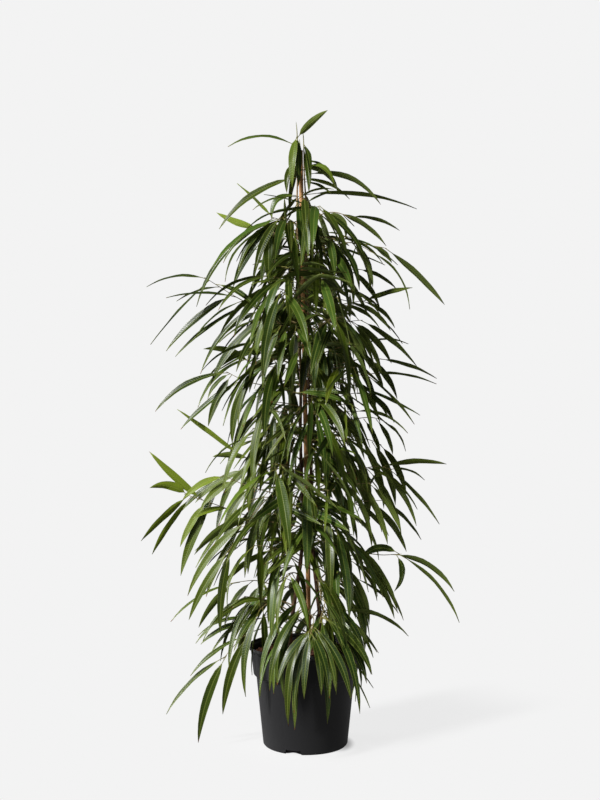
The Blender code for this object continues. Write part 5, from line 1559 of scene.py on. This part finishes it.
def caneTree():
    tree, sizes = newGeometryTree("jointedCane", caneShape)
    line = made(tree, "GeometryNodeMeshToCurve", {"Mesh": sizes["Geometry"]})
    halfGap = sizes["Joint Gap"] * 0.5
    above = pointPlace(tree).parts()[2] - sizes["First Joint"] + halfGap
    away = abs(above.to("FLOORED_MODULO", sizes["Joint Gap"]) - halfGap)
    ridge = eased(away, 0.0, sizes["Joint Reach"], 1.0, 0.0) * sizes["Joint Rise"]
    groove = eased(away, 0.0, sizes["Groove Reach"], 1.0, 0.0) * sizes["Groove"]
    waist = eased(away, 0.0, sizes["Waist Reach"]) * sizes["Waist"]
    marked = stored(evenCurve(line, sizes["Step"]), "jointAway", away)
    tube = tubeOn(marked, sizes["Sides"], summed(sizes["Radius"], ridge, groove, waist))
    endGeometryTree(tube, sizes["Material"])
    return tree


def buildCane():
    line = pointMesh("bamboo_cane", [caneSizes["foot"] * mm, caneSizes["head"] * mm], [(0, 1)])
    return grownMesh("bamboo_cane", line, caneTree(), {**caneShape, "Material": caneMaterial()})


# Ties: soft plastic wire round the cane and the stems, with its ends twisted together

tieLook = {
    "green": (0.016, 0.030, 0.012), "pale": (0.030, 0.045, 0.020), "rough": 0.55,
    "mottleScale": 500.0, "bump": 0.2, "bumpDepth": 0.0003,
}
tieFinish = {
    "wire": 0.6, "steps": 48, "azimuth": -60.0, "climb": 0.8,
    "tailSteps": 5, "tailStep": 1.6, "tailTurn": 2.2, "tailRadius": 0.7, "tailApart": 0.9, "tailBack": 0.3,
}


def tieMaterial():
    look = tieLook
    material, tree = newMaterial("tieWire")
    mottle = noiseOf(objectPlace(tree), look["mottleScale"], 2.0)
    return finished(material, {
        "Base Color": blended(mottle, look["green"], look["pale"]),
        "Roughness": look["rough"], "Normal": bumped(mottle, look["bump"], look["bumpDepth"])})


def buildTie(index, height, tree, material):
    finish = tieFinish
    members = [(canePoint(height), caneSizes["radius"])]
    members += [(stemPoint(name, height), stemRadius(name, height)) for name in stemPlan]
    loop = []
    for i in range(finish["steps"] + 1):
        heading = facing(360 * i / finish["steps"] + finish["azimuth"])
        centre, radius = max(members, key=lambda m: m[0].dot(heading) + m[1])
        loop.append(centre + heading * (radius + tieSizes["play"] + finish["wire"]))
    loop[-1] = loop[0] + upward * finish["climb"]
    out = facing(finish["azimuth"])
    tail = []
    for k in range(1, finish["tailSteps"] + 1):
        turn = k * finish["tailTurn"]
        wound = Vector((math.sin(turn), 0, math.cos(turn))) * finish["tailRadius"]
        tail.append(loop[0] + out * (finish["tailStep"] * k) + wound)
    otherTail = [p + upward * finish["tailApart"] - out * finish["tailBack"] for p in tail]
    path = [*reversed(tail), *loop, *otherTail]
    rods = [(path, [finish["wire"]] * len(path), [0.0] * len(path))]
    return buildRods(f"wire_tie_{index + 1}", rods, tree, material)


# The pieces

pot = buildPot()
barkBrown = soilMaterial()
soil = buildSoil(barkBrown)
chips = buildChips(soil, barkBrown)
print("pot and soil made:", *[len(piece.data.polygons) for piece in (pot, soil, chips)], "faces")

cane = buildCane()
rods = rodTree()
wood = woodMaterial()
wire = tieMaterial()
ties = [buildTie(index, height, rods, wire) for index, height in enumerate(tieSizes["heights"])]
print("cane and ties made:", len(cane.data.polygons), "faces")

blades = bladeTree()
leafGreen = leafMaterial()
foliage, woods = {}, {}
for name, stem in stemShoots.items():
    own = [shoot for shoot in sideShoots if shoot.stem == name]
    leaves = [leaf for shoot in [stem, *own] for leaf in shoot.leaves]
    foliage[name] = buildLeaves(f"leaves_{name}", leaves, blades, leafGreen)
    woods[name] = buildRods(f"stem_wood_{name}", [stemRod(name, stem), *map(shootRod, own)], rods, wood)
    print(name, "stem made:", len(leaves), "leaves,", len(foliage[name].data.polygons), "faces")


# Every piece rides on the one body and stands for its solid

def settle(piece, node):
    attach(piece, "root")
    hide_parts(node)


settle(pot, "pot")
settle(soil, "soil")
settle(chips, "soil")
settle(cane, "cane")
for index, tie in enumerate(ties):
    settle(tie, f"tie_{index + 1}")
for name in stemPlan:
    settle(foliage[name], f"stem_{name}")
    settle(woods[name], f"stem_{name}")


# Stage: a pale floor, a key from the front left with three soft boxes, and the photograph's camera

stageLook = {
    "paper": 0.8963, "floorGlow": 0.792, "floorGrey": 0.097, "floorRadius": 30.0,
    "shadeAlong": (0.34, 0.66), "shadeAcross": (0.07, 0.16), "shadeFoot": (0.10, 0.17),
    # painted contact shadow round the pot's foot: its reach from the axis in metres, and how much it darkens
    # the glow
    "paintedContactShadow": (0.0765, 0.094), "contactShade": 0.55,
    "keyAzimuth": 219.0, "keyLift": 38.0, "keyAway": 3, "keyPower": 3.9, "keySoftness": 7.0,
    "skyLight": 0.08, "floorLight": 0.20,
    # place, target and size in metres, power in watts, spread in degrees
    "frontBox": ((-1.7, -1.9, 1.9), (0, 0, 0.6), (1.0, 1.6), 20.0, 180.0),
    "fillBox": ((0.8, -1.1, 0.30), (0.16, 0, 0.26), (0.4, 0.25), 0.10, 26.0),
    "rimBox": ((-1.6, 0.45, 0.5), (0, 0, 0.25), (0.7, 1.2), 24.0, 180.0),
}
cameraLook = {"place": (-0.010, -2.15, 0.632), "lens": 52.5, "film": 36.0}


def buildFloor():
    look = stageLook
    shape = bmesh.new()
    bmesh.ops.create_circle(shape, cap_ends=True, segments=96, radius=look["floorRadius"])
    floor = newObject("floor", meshOf("floor", shape))
    material, tree = newMaterial("paperFloor")
    # The paper takes real shade only close to the pot, and in a short strip on the far side of the key; round
    # the pot's foot a painted contact shadow darkens its glow
    place = objectPlace(tree)
    along = place.measured("DOT_PRODUCT", facing(look["keyAzimuth"] + 180))
    across = abs(place.measured("DOT_PRODUCT", facing(look["keyAzimuth"] + 270)))
    fromAxis = place.measured("LENGTH")
    strip = (eased(along, *look["shadeAlong"], 1.0, 0.0)
             * (eased(along, 0.0, 0.1) * eased(across, *look["shadeAcross"], 1.0, 0.0)))
    near = strip.to("MAXIMUM", eased(fromAxis, *look["shadeFoot"], 1.0, 0.0))
    # painted contact shadow: the floor's glow is darkened in a thin ring round the pot's foot, on the far
    # side of the key
    paintedContactShadow = eased(fromAxis, *look["paintedContactShadow"], 1.0, 0.0) * eased(along, 0.0, 0.05, 0.0, look["contactShade"])
    glow = blended(near, (look["paper"],) * 3, (look["floorGlow"],) * 3)
    floor.data.materials.append(finished(material, {
        "Base Color": blended(near, (0, 0, 0), (look["floorGrey"],) * 3),
        "Roughness": 1.0, "Specular IOR Level": 0.0,
        "Emission Color": blended(paintedContactShadow, glow, (0, 0, 0)),
        "Emission Strength": eased(cameraRay(tree), 0.0, 1.0, look["floorLight"], 1.0)}))


def buildSky():
    world = bpy.data.worlds.new("studio")
    world.use_nodes = True
    tree = world.node_tree
    back = tree.nodes["Background"]
    back.inputs["Color"].default_value = (1.0, 1.0, 1.0, 1.0)
    back.inputs["Strength"].default_value = stageLook["skyLight"]
    seen = made(tree, "ShaderNodeBackground", {"Color": (stageLook["paper"],) * 3 + (1.0,)})
    pick = made(tree, "ShaderNodeMixShader", {0: cameraRay(tree), 1: Field(tree, back.outputs[0]), 2: seen})
    feed(tree, tree.nodes["World Output"].inputs["Surface"], pick)
    bpy.context.scene.world = world


def aimed(lamp, place, target):
    lamp.location = place
    lamp.rotation_euler = (Vector(target) - lamp.location).to_track_quat("-Z", "Y").to_euler()


def buildKey():
    look = stageLook
    data = bpy.data.lights.new("key", "SUN")
    data.energy = look["keyPower"]
    data.angle = math.radians(look["keySoftness"])
    lift = math.radians(look["keyLift"])
    away = look["keyAway"]
    place = facing(look["keyAzimuth"]) * away * math.cos(lift) + upward * away * math.sin(lift)
    aimed(newObject("key", data), place, (0, 0, 0))


def buildSoftbox(name):
    place, target, size, power, spread = stageLook[name]
    data = bpy.data.lights.new(name, "AREA")
    data.spread = math.radians(spread)
    data.shape = "RECTANGLE"
    data.size, data.size_y = size
    data.energy = power
    aimed(newObject(name, data), place, target)


def buildCamera():
    data = bpy.data.cameras.new("camera")
    data.lens = cameraLook["lens"]
    data.sensor_width = cameraLook["film"]
    data.sensor_fit = "AUTO"
    camera = newObject("camera", data)
    camera.location = cameraLook["place"]
    camera.rotation_euler = (math.pi / 2, 0, 0)
    bpy.context.scene.camera = camera


buildFloor()
buildSky()
buildKey()
for name in ("frontBox", "fillBox", "rimBox"):
    buildSoftbox(name)
buildCamera()
view = bpy.context.scene.view_settings
view.view_transform = "Standard"
view.look = "None"
view.exposure = 0.0
view.gamma = 1.0
print("stage set")
